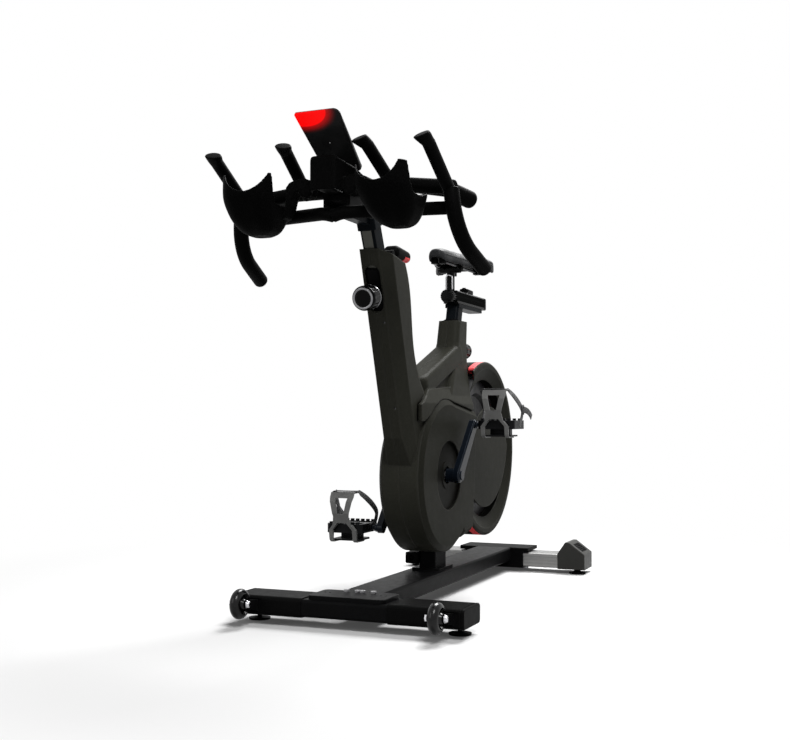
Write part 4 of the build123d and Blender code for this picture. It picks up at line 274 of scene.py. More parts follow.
bar_coat = surface(
    "bar_coat", 0.0009, 0.5, 0.012, fleck=0.4, bump=0.25, bump_scale=1500, edge=0.2, highlight_and_wear=0.008)
grip_rubber = surface("grip_rubber", 0.0012, 0.62, 0.012, fleck=0.3, bump=0.5, edge=0.3, highlight_and_wear=0.008)
tray_plastic = surface(
    "tray_plastic", 0.0007, 0.5, 0.008, fleck=0.5, bump=0.25, bump_scale=1500, edge=0.7,
    highlight_and_wear=(0.01, 0.01, 0.011), edge_size=0.0022)
surface(
    "rubber", 0.0025, 0.6, 0.04, bump=0.4, bump_scale=700, edge=0.2, highlight_and_wear=0.012, patchy=0.08,
    on="rear_foot_grips drive_belts")
surface(
    "wheel_rubber", (0.0012, 0.0012, 0.0013), 0.2, 0.22, bump=0.06, bump_scale=700, edge=0.2, highlight_and_wear=0.015,
    on="transport_wheel_left transport_wheel_right")
steel = surface(
    "steel", (0.42, 0.42, 0.43), 0.32, metallic=1, cloud=0.06, bump=0.1, bump_scale=300, patchy=0.08,
    stretch=(1, 1, 12), on="base_bolts shaft_bearings crank_spindle jackshaft flywheel_axle")
dark_steel = surface(
    "dark_steel", (0.06, 0.06, 0.063), 0.34, metallic=0.9, cloud=0.1, bump=0.1, bump_scale=500, patchy=0.08,
    on="saddle_rails")
surface("chrome", (0.55, 0.55, 0.57), 0.18, metallic=1, cloud=0.03, bump=0.03, patchy=0.04, on="wheel_bolts")
dark_chrome = surface("dark_chrome", (0.17, 0.17, 0.175), 0.16, metallic=1, cloud=0.5, bump=0.05, patchy=0.04)
light_plastic = surface("light_plastic", 0.6, 0.4, cloud=0.04, bump=0.1, patchy=0.08)
surface("end_cap_plastic", (0.03, 0.03, 0.028), 0.42, 0.08, fleck=0.4, edge=0.4, on="rear_foot_caps")
surface(
    "cast_iron", (0.012, 0.012, 0.013), 0.42, 0.1, 0.3, cloud=0.2, bump=0.25, bump_scale=500, patchy=0.08,
    on="flywheel brake_carrier")
surface(
    "anodised_grey", (0.26, 0.26, 0.255), 0.36, 0.2, 0.3, cloud=0.1, bump_scale=1200, edge=0.3, patchy=0.04,
    stretch=(0.04, 1, 1), on="rear_foot")
anodised_black = surface(
    "anodised_black", (0.0022, 0.0024, 0.0023), 0.26, 0.05, bump=0.12, edge=0.6, highlight_and_wear=(0.05, 0.05, 0.053),
    stretch=(1, 0.05, 1), on="seat_slider saddle_clamp")
surface(
    "crank_black", (0.0035, 0.0055, 0.009), 0.22, 0.1, 0.1, bump=0.05, edge=0.8, highlight_and_wear=(0.08, 0.1, 0.13),
    edge_size=0.0018, on="crank_arms")
surface(
    "cage_grey", (0.13, 0.13, 0.127), 0.36, 0.15, cloud=0.15, fleck=0.2, edge=0.6, highlight_and_wear=0.34, patchy=0.04,
    on="toe_cage_left toe_cage_right")
surface(
    "pedal_black", (0.0035, 0.0037, 0.0042), 0.36, 0.06, fleck=0.2, edge=0.7, highlight_and_wear=(0.05, 0.05, 0.055),
    on="pedal_left pedal_right")
surface(
    "red_stripe", (0.9, 0.085, 0.095), 0.42, 0.2, cloud=0.06, bump=0.1, edge=0.2, highlight_and_wear=(0.9, 0.2, 0.2),
    patchy=0.08, on="flywheel_stripes")
lever_red = surface(
    "lever_red", (0.85, 0.012, 0.02), 0.35, 0.2, cloud=0.06, bump=0.08, edge=0.2, highlight_and_wear=(0.9, 0.1, 0.1),
    patchy=0.08)
glass = surface("screen_glass", (0.001, 0.0011, 0.0013), 0.12, 0.3, cloud=0.1, bump=0.02, edge=0.4, highlight_and_wear=0.03)
knob_finish = surface(
    "knob_black", (0.0018, 0.0018, 0.002), 0.16, 0.05, bump=0.04, edge=0.8, highlight_and_wear=0.14, edge_size=0.0014,
    on="seat_knob")
strip_finish = surface(
    "strip_grey", (0.075, 0.075, 0.066), 0.42, 0.1, 0.3, cloud=0.2, bump=0.1, patchy=0.08, stretch=(12, 1, 1),
    on="scale_strip")
saddle_leather = leather("saddle_leather", (0.022, 0.0225, 0.024))
strap_weave = webbing("strap_weave", (0.006, 0.0062, 0.0068))
console_case = painted_glow_console("console_case")


# ---- mesh tools ----


def placed(name, data):
    """An object of the scene that holds a mesh, lamp or camera."""
    thing = bpy.data.objects.new(name, data)
    scene.collection.objects.link(thing)
    return thing


def raw(name, points, faces):
    """Object from points in millimetres."""
    mesh = bpy.data.meshes.new(name)
    mesh.from_pydata([Vector(p) * MM for p in points], [], faces)
    maker = bmesh.new()
    maker.from_mesh(mesh)
    bmesh.ops.remove_doubles(maker, verts=maker.verts, dist=2e-6)
    bmesh.ops.recalc_face_normals(maker, faces=maker.faces)
    maker.to_mesh(mesh)
    maker.free()
    return placed(name, mesh)


def node_box(name):
    """A CAD node's lowest and highest corners at rest, in millimetres."""
    return [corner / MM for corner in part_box(name)]


def finished(piece, material, body, replaced=(), sharp=32):
    """Shades a piece, sends it with a CAD body and hides the nodes it stands for."""
    piece.data.materials.clear()
    piece.data.materials.append(material)
    piece.data.shade_smooth()
    piece.data.set_sharp_from_angle(angle=math.radians(sharp))
    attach(piece, body)
    if replaced:
        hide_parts(*replaced)
    return piece


def adjust(thing, **settings):
    for setting, value in settings.items():
        setattr(thing, setting, value)
    return thing


def changed(piece, kind, **settings):
    """Adds a modifier with those settings."""
    return adjust(piece.modifiers.new(kind, kind), **settings)


def applied(piece):
    """The piece with its modifiers made part of its mesh."""
    seen = bpy.context.evaluated_depsgraph_get()
    mesh = bpy.data.meshes.new_from_object(piece.evaluated_get(seen))
    piece.modifiers.clear()
    piece.data = mesh
    return piece


def combined(base, others, operation="UNION"):
    """One solid from several, which are used up."""
    for other in others:
        changed(base, "BOOLEAN", operation=operation, solver="EXACT", object=other)
    applied(base)
    for other in others:
        bpy.data.objects.remove(other)
    return base


def melted(piece, voxel, rounds=0):
    """A solid's skin made again from small cells, its edges smoothed into radii."""
    changed(piece, "REMESH", mode="VOXEL", voxel_size=voxel * MM)
    if rounds:
        changed(piece, "SMOOTH", iterations=rounds)
    return applied(piece)


def ray_tree(mesh):
    """What a ray meets on a mesh, in millimetres."""
    faces = [tuple(face.vertices) for face in mesh.polygons]
    return BVHTree.FromPolygons([vertex.co / MM for vertex in mesh.vertices], faces)


def skinned(name, rings, closed=False):
    """Solid over rings of equally many points, capped at both ends unless it closes on itself."""
    count = len(rings[0])
    points = [p for ring in rings for p in ring]
    faces = []
    for first in range(len(rings) if closed else len(rings) - 1):
        second = (first + 1) % len(rings)
        for a in range(count):
            b = (a + 1) % count
            faces.append((first * count + a, first * count + b, second * count + b, second * count + a))
    if not closed:
        faces.append(tuple(range(count)))
        faces.append(tuple(len(points) - count + a for a in range(count)))
    return raw(name, points, faces)


def turns(sides):
    """The angles of evenly spaced points round a circle."""
    return [2 * math.pi * k / sides for k in range(sides)]


def circle(centre, side, other, radius, sides, flutes=0, depth=0):
    """Points round a centre, in the plane of two directions, nearer to it in any flutes."""
    points = []
    for angle in turns(sides):
        reach = radius - depth * max(0, math.cos(flutes * angle)) ** 2
        points.append(centre + (side * math.cos(angle) + other * math.sin(angle)) * reach)
    return points


def headings(path, closed=False):
    """The way a path runs at each of its points."""
    first, last = (-1, 0) if closed else (0, -1)
    ends = [path[first], *path, path[last]]
    return [(after - before).normalized() for before, after in zip(ends, ends[2:])]


def quarter(steps):
    """Points of a rounded edge: how far in and how far down each lies, as shares of its radius."""
    angles = [math.pi / 2 * i / steps for i in range(steps + 1)]
    return [(1 - math.sin(angle), 1 - math.cos(angle)) for angle in angles]


def bent(before, corner, after, bend, steps=None, step=5):
    """Arc of that radius between the straight runs that meet at a corner."""
    back, ahead = (before - corner).normalized(), (after - corner).normalized()
    half = back.angle(ahead) / 2
    centre = corner + (back + ahead).normalized() * bend / math.sin(half)
    first, last = (corner + way * bend / math.tan(half) - centre for way in (back, ahead))
    turn = math.pi - 2 * half
    steps = steps or max(3, int(bend * turn / step))
    arc = []
    for part in (i / steps for i in range(steps + 1)):
        spot = first * math.sin((1 - part) * turn) + last * math.sin(part * turn)
        arc.append(centre + spot / math.sin(turn))
    return arc


def rounded_path(points, bend, step=5):
    """Straight runs joined by arcs of that radius."""
    points = [Vector(p) for p in points]
    path = [points[0]]
    for before, corner, after in zip(points, points[1:], points[2:]):
        path += bent(before, corner, after, bend, step=step)
    return path + [points[-1]]


def rounded_outline(corners, bends, steps=8):
    """Closed flat outline with its corners rounded; a bend of 0 leaves a corner sharp."""
    corners = [Vector((*c, 0)) for c in corners]
    outline = []
    for i, (corner, bend) in enumerate(zip(corners, bends)):
        after = corners[(i + 1) % len(corners)]
        outline += bent(corners[i - 1], corner, after, bend, steps) if bend else [corner]
    return [tuple(point.xy) for point in outline]


def rectangle(half, depth, bend, steps=8):
    bend = min(bend, half - 0.01, depth - 0.01)
    corners = [(half, depth), (-half, depth), (-half, -depth), (half, -depth)]
    return rounded_outline(corners, [bend] * 4, steps)


def oblong(half, front, back):
    """Sharp-cornered rectangle across the middle plane."""
    return [(-half, front), (half, front), (half, back), (-half, back)]


def swept(name, path, radius, start_round=0, end_round=0, sides=36):
    """Round bar along a path, its ends rounded over."""
    path = [Vector(p) for p in path]
    radii = [radius] * len(path)
    for at_end, rounding in ((False, start_round), (True, end_round)):
        if not rounding:
            continue
        tip, inner = (path[-1], path[-2]) if at_end else (path[0], path[1])
        inward = (inner - tip).normalized()
        extra = [tip + inward * rounding * along for along, _ in quarter(6)]
        sizes = [radius - rounding * drop for _, drop in quarter(6)]
        if at_end:
            path, radii = path[:-1] + extra, radii[:-1] + sizes
        else:
            path, radii = extra[::-1] + path[1:], sizes[::-1] + radii[1:]
    rings, side = [], None
    for centre, size, heading in zip(path, radii, headings(path)):
        if side is None:
            side = heading.orthogonal().normalized()
        side = (side - heading * side.dot(heading)).normalized()
        rings.append(circle(centre, side, heading.cross(side), size, sides))
    return skinned(name, rings)


def from_side(y, z, x):
    """Where a prism's point lies when its outline is seen from the side."""
    return (x, y, z)


def from_front(x, z, y):
    return (x, y, z)


def prism(name, outline, low, high, place=lambda x, y, z: (x, y, z)):
    """Straight solid over an outline; place turns (u, v, height) into a point."""
    return skinned(name, [[Vector(place(u, v, height)) for u, v in outline] for height in (low, high)])


def mirrored(point):
    return (-point[0], point[1], point[2])


def flowing(rows, steps):
    """Rows of numbers with smooth rows between them."""
    out = []
    for i in range(len(rows) - 1):
        before, here, after, beyond = (rows[max(0, min(len(rows) - 1, i + k))] for k in (-1, 0, 1, 2))
        for j in range(steps):
            t = j / steps
            row = []
            for a, b, c, d in zip(before, here, after, beyond):
                square, cube = (2 * a - 5 * b + 4 * c - d) * t * t, (3 * b - a - 3 * c + d) * t ** 3
                row.append(0.5 * (2 * b + (c - a) * t + square + cube))
            out.append(tuple(row))
    out.append(tuple(rows[-1]))
    return out


def slab(name, outline_at, thick, rounding, place, steps=5):
    """Plate with rounded rims; outline_at(inset) gives its outline, place(u, v, height) a point."""
    rims = [(-thick / 2 + rounding * along, rounding * drop) for along, drop in quarter(steps)]
    rims = rims[::-1] + [(-height, inset) for height, inset in rims]
    return skinned(name, [[Vector(place(u, v, h)) for u, v in outline_at(inset)] for h, inset in rims])


# ---- handlebar: crossbar, horns, drops and grips ----

BAR_R, LOWER_BAR_R, DROP_R, GRIP_R = 16, 14, 16.5, 19
BAR_BEND, LOWER_BAR_BEND, DROP_BEND = 40, 60, 110
BAR_Y, BAR_Z = -436, 940
SHOULDER, CORNER = Vector((140, BAR_Y, BAR_Z)), Vector((205, -388, 934))
GRIP_WAY = (Vector((246, -312, 915)) - CORNER).normalized()
GRIP_START, GRIP_LIP, GRIP_END, BAR_END = 12, 32, 77, 69
LINK_END = (244, -452, 924)
DROP = ((244.5, -475, 918), (256, -477, 822), (273, -340, 763.5))
LOWER_BAR = ((0, -522, 870), (20, -522, 876), (249, -440, 884))
SEAT_HALF, SEAT_DEPTH, SEAT_BOTTOM, SEAT_TOP = 27, 30, 924, 936
HORN_R, HORN_CAP_R, HORN_RIM, HORN_FACE = 13.5, 17, 3, (-0.209, -0.496, 0.843)
HORNS = (
    # root, start of the flared end, middle of the end face
    ((238.8, -438, 895.3), (239.6, -590, 986.8), (235, -615, 997)),
    ((103.9, -436, 933.4), (93.1, -557, 1003.8), (87, -582, 1011)),
)


def horn(root, neck, tip, facing, steps=6, rim_steps=4):
    """Round bar that flares to a wider end face, tipped forward and softly rimmed."""
    root, neck, tip, facing = (Vector(v) for v in (root, neck, tip, facing))
    heading = (neck - root).normalized()
    stations = [(root, heading, HORN_R), (neck - heading * 12, heading, HORN_R)]
    for i in range(steps + 1):
        part = i / steps
        ease = part * part * (3 - 2 * part)
        size = HORN_R + (HORN_CAP_R - HORN_R) * ease
        stations.append((neck.lerp(tip, part), heading.lerp(facing, ease).normalized(), size))
    for i in range(1, rim_steps + 1):
        angle = math.pi / 2 * i / rim_steps
        size = HORN_CAP_R - HORN_RIM * (1 - math.cos(angle))
        stations.append((tip + facing * HORN_RIM * 0.7 * math.sin(angle), facing, size))
    rings = []
    for centre, normal, size in stations:
        side = (X_WAY - normal * normal.x).normalized()
        rings.append(circle(centre, side, normal.cross(side), size, 36))
    return skinned("horn", rings)


def handlebar():
    half = [SHOULDER, CORNER, CORNER + GRIP_WAY * BAR_END]
    whole = [Vector(mirrored(p)) for p in half[::-1]] + half
    tubes = [swept("handlebar_tubes", rounded_path(whole, BAR_BEND), BAR_R)]
    grips = []
    for place in (tuple, mirrored):
        drop, lower = ([place(p) for p in line] for line in (DROP, LOWER_BAR))
        tubes += [swept("link", [place(SHOULDER), place(LINK_END)], BAR_R, end_round=4),
                  swept("drop", rounded_path(drop, DROP_BEND), DROP_R, 3, 8),
                  swept("lower", rounded_path(lower, LOWER_BAR_BEND), LOWER_BAR_R, end_round=4)]
        tubes += [horn(*(place(p) for p in points), place(HORN_FACE)) for points in HORNS]
        ends = [place(CORNER + GRIP_WAY * along) for along in (GRIP_START, GRIP_LIP, GRIP_END)]
        grips.append(swept("bar_end_grips", ends, GRIP_R, 1.5, 13))
    seat = oblong(SEAT_HALF, BAR_Y - SEAT_DEPTH, BAR_Y + SEAT_DEPTH)
    bars = combined(tubes[0], [*tubes[1:], prism("seat", seat, SEAT_BOTTOM, SEAT_TOP)])
    finished(bars, bar_coat, "handlebar", ["handlebar_frame"])
    grips = combined(grips[0], grips[1:])
    finished(grips, grip_rubber, "handlebar", ["handlebar_grips"])


# ---- bottle tray: two cups, their arms and the cowl, in one moulding ----

CUP_WALL = 4.6
CUP_ROWS = (
    # height, centre x, centre y, half width, half depth, corner, lift of the inside
    (950, 150, -571, 57, 78, 40, 0),
    (905, 152, -566, 60, 75, 40, 0),
    (875, 155, -562, 55, 58, 36, 0.5),
    (855, 156, -555, 47, 48, 31, 1.5),
    (840, 157, -548, 35, 36, 24, 3),
    (832, 158, -545, 20, 21, 14, 4),
)
DIP_X, DIP_Z, DIP_R = 146, 962, 49.5
COWL_FRONT, COWL_BACK, COWL_TOP, COWL_BOTTOM, COWL_WALL = -575, -480, 989, 916, 5
COWL_FRONT_HALF, COWL_BACK_HALF, COWL_BEND = 28, 70, 16
SHOULDER_HALF, SHOULDER_TOP_HALF, SHOULDER_DROP = 90, 21, 54
WEB_HALF, WEB_BACK, WEB_BOTTOM, WEB_TOP = 16, -506, 917, 922
ARM_FRONT, ARM_BACK = -554, -520
ARM = ((34, 938), (38, 912), (48, 905), (60, 910), (66, 921), (75, 921), (83, 904), (88, 884), (97, 868),
       (112, 862), (112, 906), (104, 914), (97, 930), (88, 941), (76, 945), (64, 947), (50, 947))
REAR_LIP = ((-616, 1000), (-616, 946), (-610, 908), (-598, 891), (-560, 890), (-530, 898), (-500, 905),
            (-470, 908), (-470, 1000))
TRAY_VOXEL, TRAY_ROUNDS = 1.7, 6


def cup(name, inset, place):
    """One cup's outside, or its inside when there is an inset."""
    rings = []
    rows = flowing(CUP_ROWS, 4)
    if inset:
        rows = [(rows[0][0] + 20, *rows[0][1:])] + rows
    for z, x, y, half, depth, corner, lift in rows:
        outline = rectangle(half - inset, depth - inset, corner - inset)
        rings.append([Vector(place((x + u, y + v, z + (lift if inset else 0)))) for u, v in outline])
    return skinned(name, rings)


def cowl_plan(inset):
    front, back = COWL_FRONT + inset, COWL_BACK + inset
    wide, narrow = COWL_BACK_HALF - inset, COWL_FRONT_HALF - inset / 2
    corners = [(-wide, back), (-narrow, front), (narrow, front), (wide, back)]
    return rounded_outline(corners, (0, COWL_BEND, COWL_BEND, 0))


def cowl():
    """Hollow hood below the console, its top sloping back and down to both sides."""
    hood = prism("bottle_tray", cowl_plan(0), COWL_BOTTOM, COWL_TOP)
    hollow = prism("hollow", cowl_plan(COWL_WALL), COWL_BOTTOM - 5, COWL_TOP - COWL_WALL)
    slope = [(COWL_FRONT - 2, 5), (COWL_FRONT - 2, -9), (COWL_FRONT + 2.5, -3.2), (COWL_FRONT + 8, -0.8),
             (COWL_FRONT + 20, -3), (COWL_FRONT + 50, -18), (COWL_BACK + 5, -52), (COWL_BACK + 5, 5)]
    slope = [(y, COWL_TOP + rise) for y, rise in slope]
    slope = prism("slope", slope, -SHOULDER_HALF, SHOULDER_HALF, from_side)
    combined(hood, [hollow, slope], "DIFFERENCE")
    right = [(SHOULDER_HALF, COWL_BOTTOM - 16), (SHOULDER_HALF, COWL_TOP - SHOULDER_DROP),
             (SHOULDER_TOP_HALF, COWL_TOP + 1)]
    left = [(-x, z) for x, z in right]
    shoulders = rounded_outline([left[0], *right, *left[:0:-1]], (0, 0, 0, COWL_BEND, COWL_BEND, 0))
    shoulders = prism("shoulders", shoulders, COWL_FRONT - 5, COWL_BACK + 5, from_front)
    return combined(hood, [shoulders], "INTERSECT")


def tray():
    whole = cowl()
    web = oblong(WEB_HALF, COWL_FRONT + 2, WEB_BACK)
    solids, insides = [prism("web", web, WEB_BOTTOM, WEB_TOP)], []
    for place in (tuple, mirrored):
        body = cup("cup", 0, place)
        dip = swept("dip", [place((DIP_X, -560, DIP_Z)), place((DIP_X, -720, DIP_Z))], DIP_R, sides=72)
        lip = prism("lip", REAR_LIP, 60, 240, lambda y, z, x: place((x, y, z)))
        combined(body, [cup("inside", CUP_WALL, place), dip, lip], "DIFFERENCE")
        arm = prism("arm", ARM, ARM_FRONT, ARM_BACK, lambda x, z, y: place((x, y, z)))
        solids += [body, arm]
        insides.append(cup("inside", CUP_WALL, place))
    combined(whole, solids)
    combined(whole, insides, "DIFFERENCE")
    melted(whole, TRAY_VOXEL, TRAY_ROUNDS)
    finished(whole, tray_plastic, "handlebar", ["cup_tray"], sharp=60)


# ---- console ----

CONSOLE_TOP_HALF, CONSOLE_LOW_HALF, CONSOLE_HALF_LENGTH, CONSOLE_THICK = 51, 42, 84, 12
CONSOLE_BENDS, CONSOLE_TAPER = (13, 7, 9, 9), 0.4
SCREEN_MARGIN, SCREEN_FOOT, SCREEN_THICK, SCREEN_BENDS = 6.5, -36, 1.6, (12, 12, 12, 12)
STEM_HALF, STEM_Y, STEM_BOTTOM, STEM_TOP = 13, -490, 924, 990
LAMP_PROFILE = ((1.7, 1), (1.7, -0.2), (1, -0.6))


def console_point(u, v, height):
    """Place on the console, which grows thinner towards its top behind a flat front."""
    share = 1 - (1 - CONSOLE_TAPER) * (v + CONSOLE_HALF_LENGTH) / (2 * CONSOLE_HALF_LENGTH)
    height = (height + CONSOLE_THICK / 2) * share - CONSOLE_THICK / 2
    return Vector((u, 0, 0)) + CONSOLE_MIDDLE + CONSOLE_UP * v + CONSOLE_OUT * height


def console_outline(inset, foot=-CONSOLE_HALF_LENGTH, bends=CONSOLE_BENDS):
    share = (foot + CONSOLE_HALF_LENGTH) / (2 * CONSOLE_HALF_LENGTH)
    low = CONSOLE_LOW_HALF + (CONSOLE_TOP_HALF - CONSOLE_LOW_HALF) * share
    top, top_half = CONSOLE_HALF_LENGTH - inset, CONSOLE_TOP_HALF - inset
    corners = [(top_half, top), (-top_half, top), (-low + inset, foot + inset), (low - inset, foot + inset)]
    return rounded_outline(corners, [bend - inset * 0.6 for bend in bends])


def screen_outline(inset):
    return console_outline(inset + SCREEN_MARGIN, SCREEN_FOOT, SCREEN_BENDS)


def console():
    half = CONSOLE_THICK / 2
    case = slab("console_case", console_outline, CONSOLE_THICK, 3, console_point)
    stem = [(x, y + STEM_Y) for x, y in rectangle(STEM_HALF, STEM_HALF, 3)]
    stem = prism("stem", stem, STEM_BOTTOM, STEM_TOP)
    combined(case, [stem])
    finished(case, console_case, "handlebar", ["console"])
    screen = slab("console_screen", screen_outline, SCREEN_THICK, 0.7,
                  lambda u, v, height: console_point(u, v, height + half))
    finished(screen, glass, "handlebar")
    rings = [[console_point(radius * math.cos(angle), radius * math.sin(angle), height - half)
              for angle in turns(16)] for radius, height in LAMP_PROFILE]
    finished(skinned("console_lamp", rings), light_plastic, "handlebar")


# ---- scale plate on the handlebar post ----

PLATE_LENGTHENED, PLATE_PROUD, PLATE_SCREW_R, PLATE_SCREW_INSET = 60, 0.4, 2.6, 7


def scale_plate():
    """The CAD strip carried further up the post, with the small screw that holds its top."""
    plate = placed("scale_plate", nodes["scale_strip"].data.copy())
    lowest, highest = node_box("scale_strip")
    ends = []
    for z in (lowest.z, highest.z):
        near = [v.co / MM for v in plate.data.vertices if abs(v.co.z / MM - z) < 2]
        ends.append(sum(near, Vector()) / len(near))
    way = (ends[1] - ends[0]).normalized()
    forward = X_WAY.cross(way)
    for vertex in plate.data.vertices:
        if vertex.co.z / MM > (lowest.z + highest.z) / 2:
            vertex.co += way * PLATE_LENGTHENED * MM
        vertex.co += forward * PLATE_PROUD * MM
    finished(plate, strip_finish, "handlebar_post", ["scale_strip"])
    spot = ends[1] + way * (PLATE_LENGTHENED - PLATE_SCREW_INSET)
    screw = swept("plate_screw", [spot - forward, spot + forward * 1.4], PLATE_SCREW_R, 0, 0.5, 20)
    finished(screw, steel, "handlebar_post")


# ---- height knob ----

KNOB_DIP = math.radians(10.9)
KNOB_FOOT = Vector((0, -300, 725))
KNOB_OUT = Vector((0, -math.cos(KNOB_DIP), -math.sin(KNOB_DIP)))
KNOB_R, KNOB_LENGTH, KNOB_HEAD = 28, 53, 21
KNOB_STEM_R, KNOB_STEM_REACH = 6, 27.5
FLUTES, FLUTE_DEPTH, FLUTE_FROM, FLUTE_MARGIN = 10, 2.2, 0.34, 7
# Shares of the knob's radius and length.
KNOB_SHOULDER = ((0.62, 0), (0.7, 0.14), (0.86, 0.2))
KNOB_COLLAR = ((0.89, 0.19), (0.97, 0.215), (0.99, 0.245), (0.94, 0.27), (0.86, 0.25))
# Millimetres in from the radius and past the end of the knob.
KNOB_FACE = ((0, -6), (1.2, -2.5), (4, 0), (9, 0), (10, -2.5), (16, -2.8), (26, -1.6))
KNOB_RING = ((3.6, -0.8), (4.3, 0.7), (6.2, 1), (8.2, 0.6), (8.8, -0.8))


def turned(name, profile, sides=120, flute=None, closed=False):
    """Solid turned about the knob's axis, fluted between two distances out along it."""
    rings = []
    for radius, out in profile:
        depth = FLUTE_DEPTH if flute and flute[0] < out < flute[1] else 0
        centre = KNOB_FOOT + KNOB_OUT * (KNOB_HEAD + out)
        rings.append(circle(centre, X_WAY, KNOB_OUT.cross(X_WAY), radius, sides, FLUTES, depth))
    return skinned(name, rings, closed)


def height_knob():
    """Fluted knob with a bright ring on its face and a bright collar."""
    r, n = KNOB_R, KNOB_LENGTH
    profile = [(KNOB_STEM_R, -KNOB_STEM_REACH), (KNOB_STEM_R, -1)]
    profile += [(r * wide, n * out) for wide, out in KNOB_SHOULDER]
    profile += [(r - 1.5, n * 0.31)] + [(r, n * out) for out in (0.36, 0.42, 0.5, 0.6, 0.7, 0.78)]
    profile += [(r - inset, n + past) for inset, past in KNOB_FACE]
    head = turned("knob_head", profile, flute=(n * FLUTE_FROM, n - FLUTE_MARGIN))
    finished(head, knob_finish, "handlebar_knob", ["handlebar_knob"], sharp=40)
    ring = turned("knob_ring", [(r - inset, n + past) for inset, past in KNOB_RING], closed=True)
    collar = turned("knob_collar", [(r * wide, n * out) for wide, out in KNOB_COLLAR], closed=True)
    for piece in (ring, collar):
        finished(piece, dark_chrome, "handlebar_knob")


# ---- resistance lever ----

PIVOT_Y, PIVOT_Z, PIVOT_R, LEVER_HALF = -236, 828, 8, 12
LEVER_REACH, LEVER_END_R = 36, 9
POD_Y, POD_Z, POD_LENGTH, POD_HEIGHT, POD_HALF, POD_ROUND = -176, 834, 88, 29, 19.5, 11
POD_DIP = math.radians(5)
INSERT_FRONT, INSERT_BACK, INSERT_TOP, INSERT_GAP = -172, -144, 828, 0.2


def pod(name, steps=32):
    """Finger pod, round at both ends and over its flanks."""
    reach, height = POD_LENGTH / 2, POD_HEIGHT / 2
    rings = []
    for i in range(steps + 1):
        along = -math.cos(math.pi * i / steps) * (reach - 0.3)
        past = max(0, abs(along) - (reach - height))
        tall = math.sqrt(height ** 2 - past ** 2)
        edge = max(0, abs(along) - (reach - POD_ROUND))
        wide = POD_HALF - POD_ROUND * (1 - math.sqrt(max(0, 1 - (edge / POD_ROUND) ** 2)))
        ring = []
        for u, v in rectangle(wide, max(tall, 0.4), POD_ROUND, 6):
            ring.append(Vector((u, POD_Y + along * math.cos(POD_DIP) + v * math.sin(POD_DIP),
                                POD_Z - along * math.sin(POD_DIP) + v * math.cos(POD_DIP))))
        rings.append(ring)
    return skinned(name, rings)


def insert_space(gap):
    """The part of the pod that its red insert takes, with a gap round it."""
    front, back, top, bottom = INSERT_FRONT - gap, INSERT_BACK + gap, INSERT_TOP + gap, POD_Z - POD_HEIGHT
    outline = [(front, bottom), (back, bottom), (back, top), (front, top)]
    return prism("space", outline, -POD_HALF - 2, POD_HALF + 2, from_side)


def resistance_lever():
    arm = []
    ends = ((PIVOT_Y, PIVOT_Z, PIVOT_R, 0.5), (PIVOT_Y + LEVER_REACH, POD_Z + 1, LEVER_END_R, -0.5))
    for y, z, radius, start in ends:
        for i in range(13):
            angle = math.pi * (start + i / 12)
            arm.append((y + radius * math.cos(angle), z + radius * math.sin(angle)))
    body = combined(pod("lever_pod"), [prism("arm", arm, -LEVER_HALF, LEVER_HALF, from_side)])
    combined(body, [insert_space(INSERT_GAP)], "DIFFERENCE")
    finished(body, black_plastic, "resistance_lever", ["resistance_lever"])
    wedge = combined(pod("lever_wedge"), [insert_space(0)], "INTERSECT")
    finished(wedge, lever_red, "resistance_lever", ["lever_insert"])


# ---- saddle ----

SADDLE_ROWS = (
    # y, half width, crown, foot of the pad, lowest edge of the skirt
    (74, 13, 879, 864, 860),
    (82, 20, 884, 863, 855),
    (100, 25, 886, 865, 851),
    (130, 29, 886, 866, 850),
    (160, 36, 885, 866, 850),
    (178, 41, 885, 866, 849),
    (200, 45, 884, 865, 848),
    (225, 53, 884, 862, 846),
    (250, 63, 885, 860, 844),
    (275, 74, 886, 858, 842),
    (300, 80, 887, 857, 841),
    (322, 79, 886, 859, 842),
    (336, 68, 883, 860, 848),
)
SWELL, PAD_VOXEL, FRAMES = 6, 3.6, 20
GROOVE_WIDTH, GROOVE_DEPTH, GROOVE_START, GROOVE_END = 9, 3.2, 140, 322
GROOVE_DIP_FROM, GROOVE_EASE = 872, 30
WELT_R, WELT_FRONT, WELT_BACK, WELT_STEPS, WELT_REACH = 1.1, 84, 332, 40, 130
WELT_Z, WELT_FALL = 872, 8


def saddle_blank():
    rings = []
    for y, half, crown, foot, wing in flowing(SADDLE_ROWS, 4):
        wall = min(6, 0.3 * half)
        right = [(0, crown - 0.5), (0.3 * half, crown), (0.6 * half, crown - 2), (0.86 * half, crown - 7),
                 (half - 0.5, crown - 14), (half, wing + 8), (half - 0.25 * wall, wing),
                 (half - 0.7 * wall, wing + 1), (half - wall, wing + 4), (half - wall, max(foot, wing + 5))]
        loop = right + [(-x, z) for x, z in right[:0:-1]]
        rings.append([Vector((x, y, z)) for x, z in loop])
    return skinned("saddle_cushion", rings)


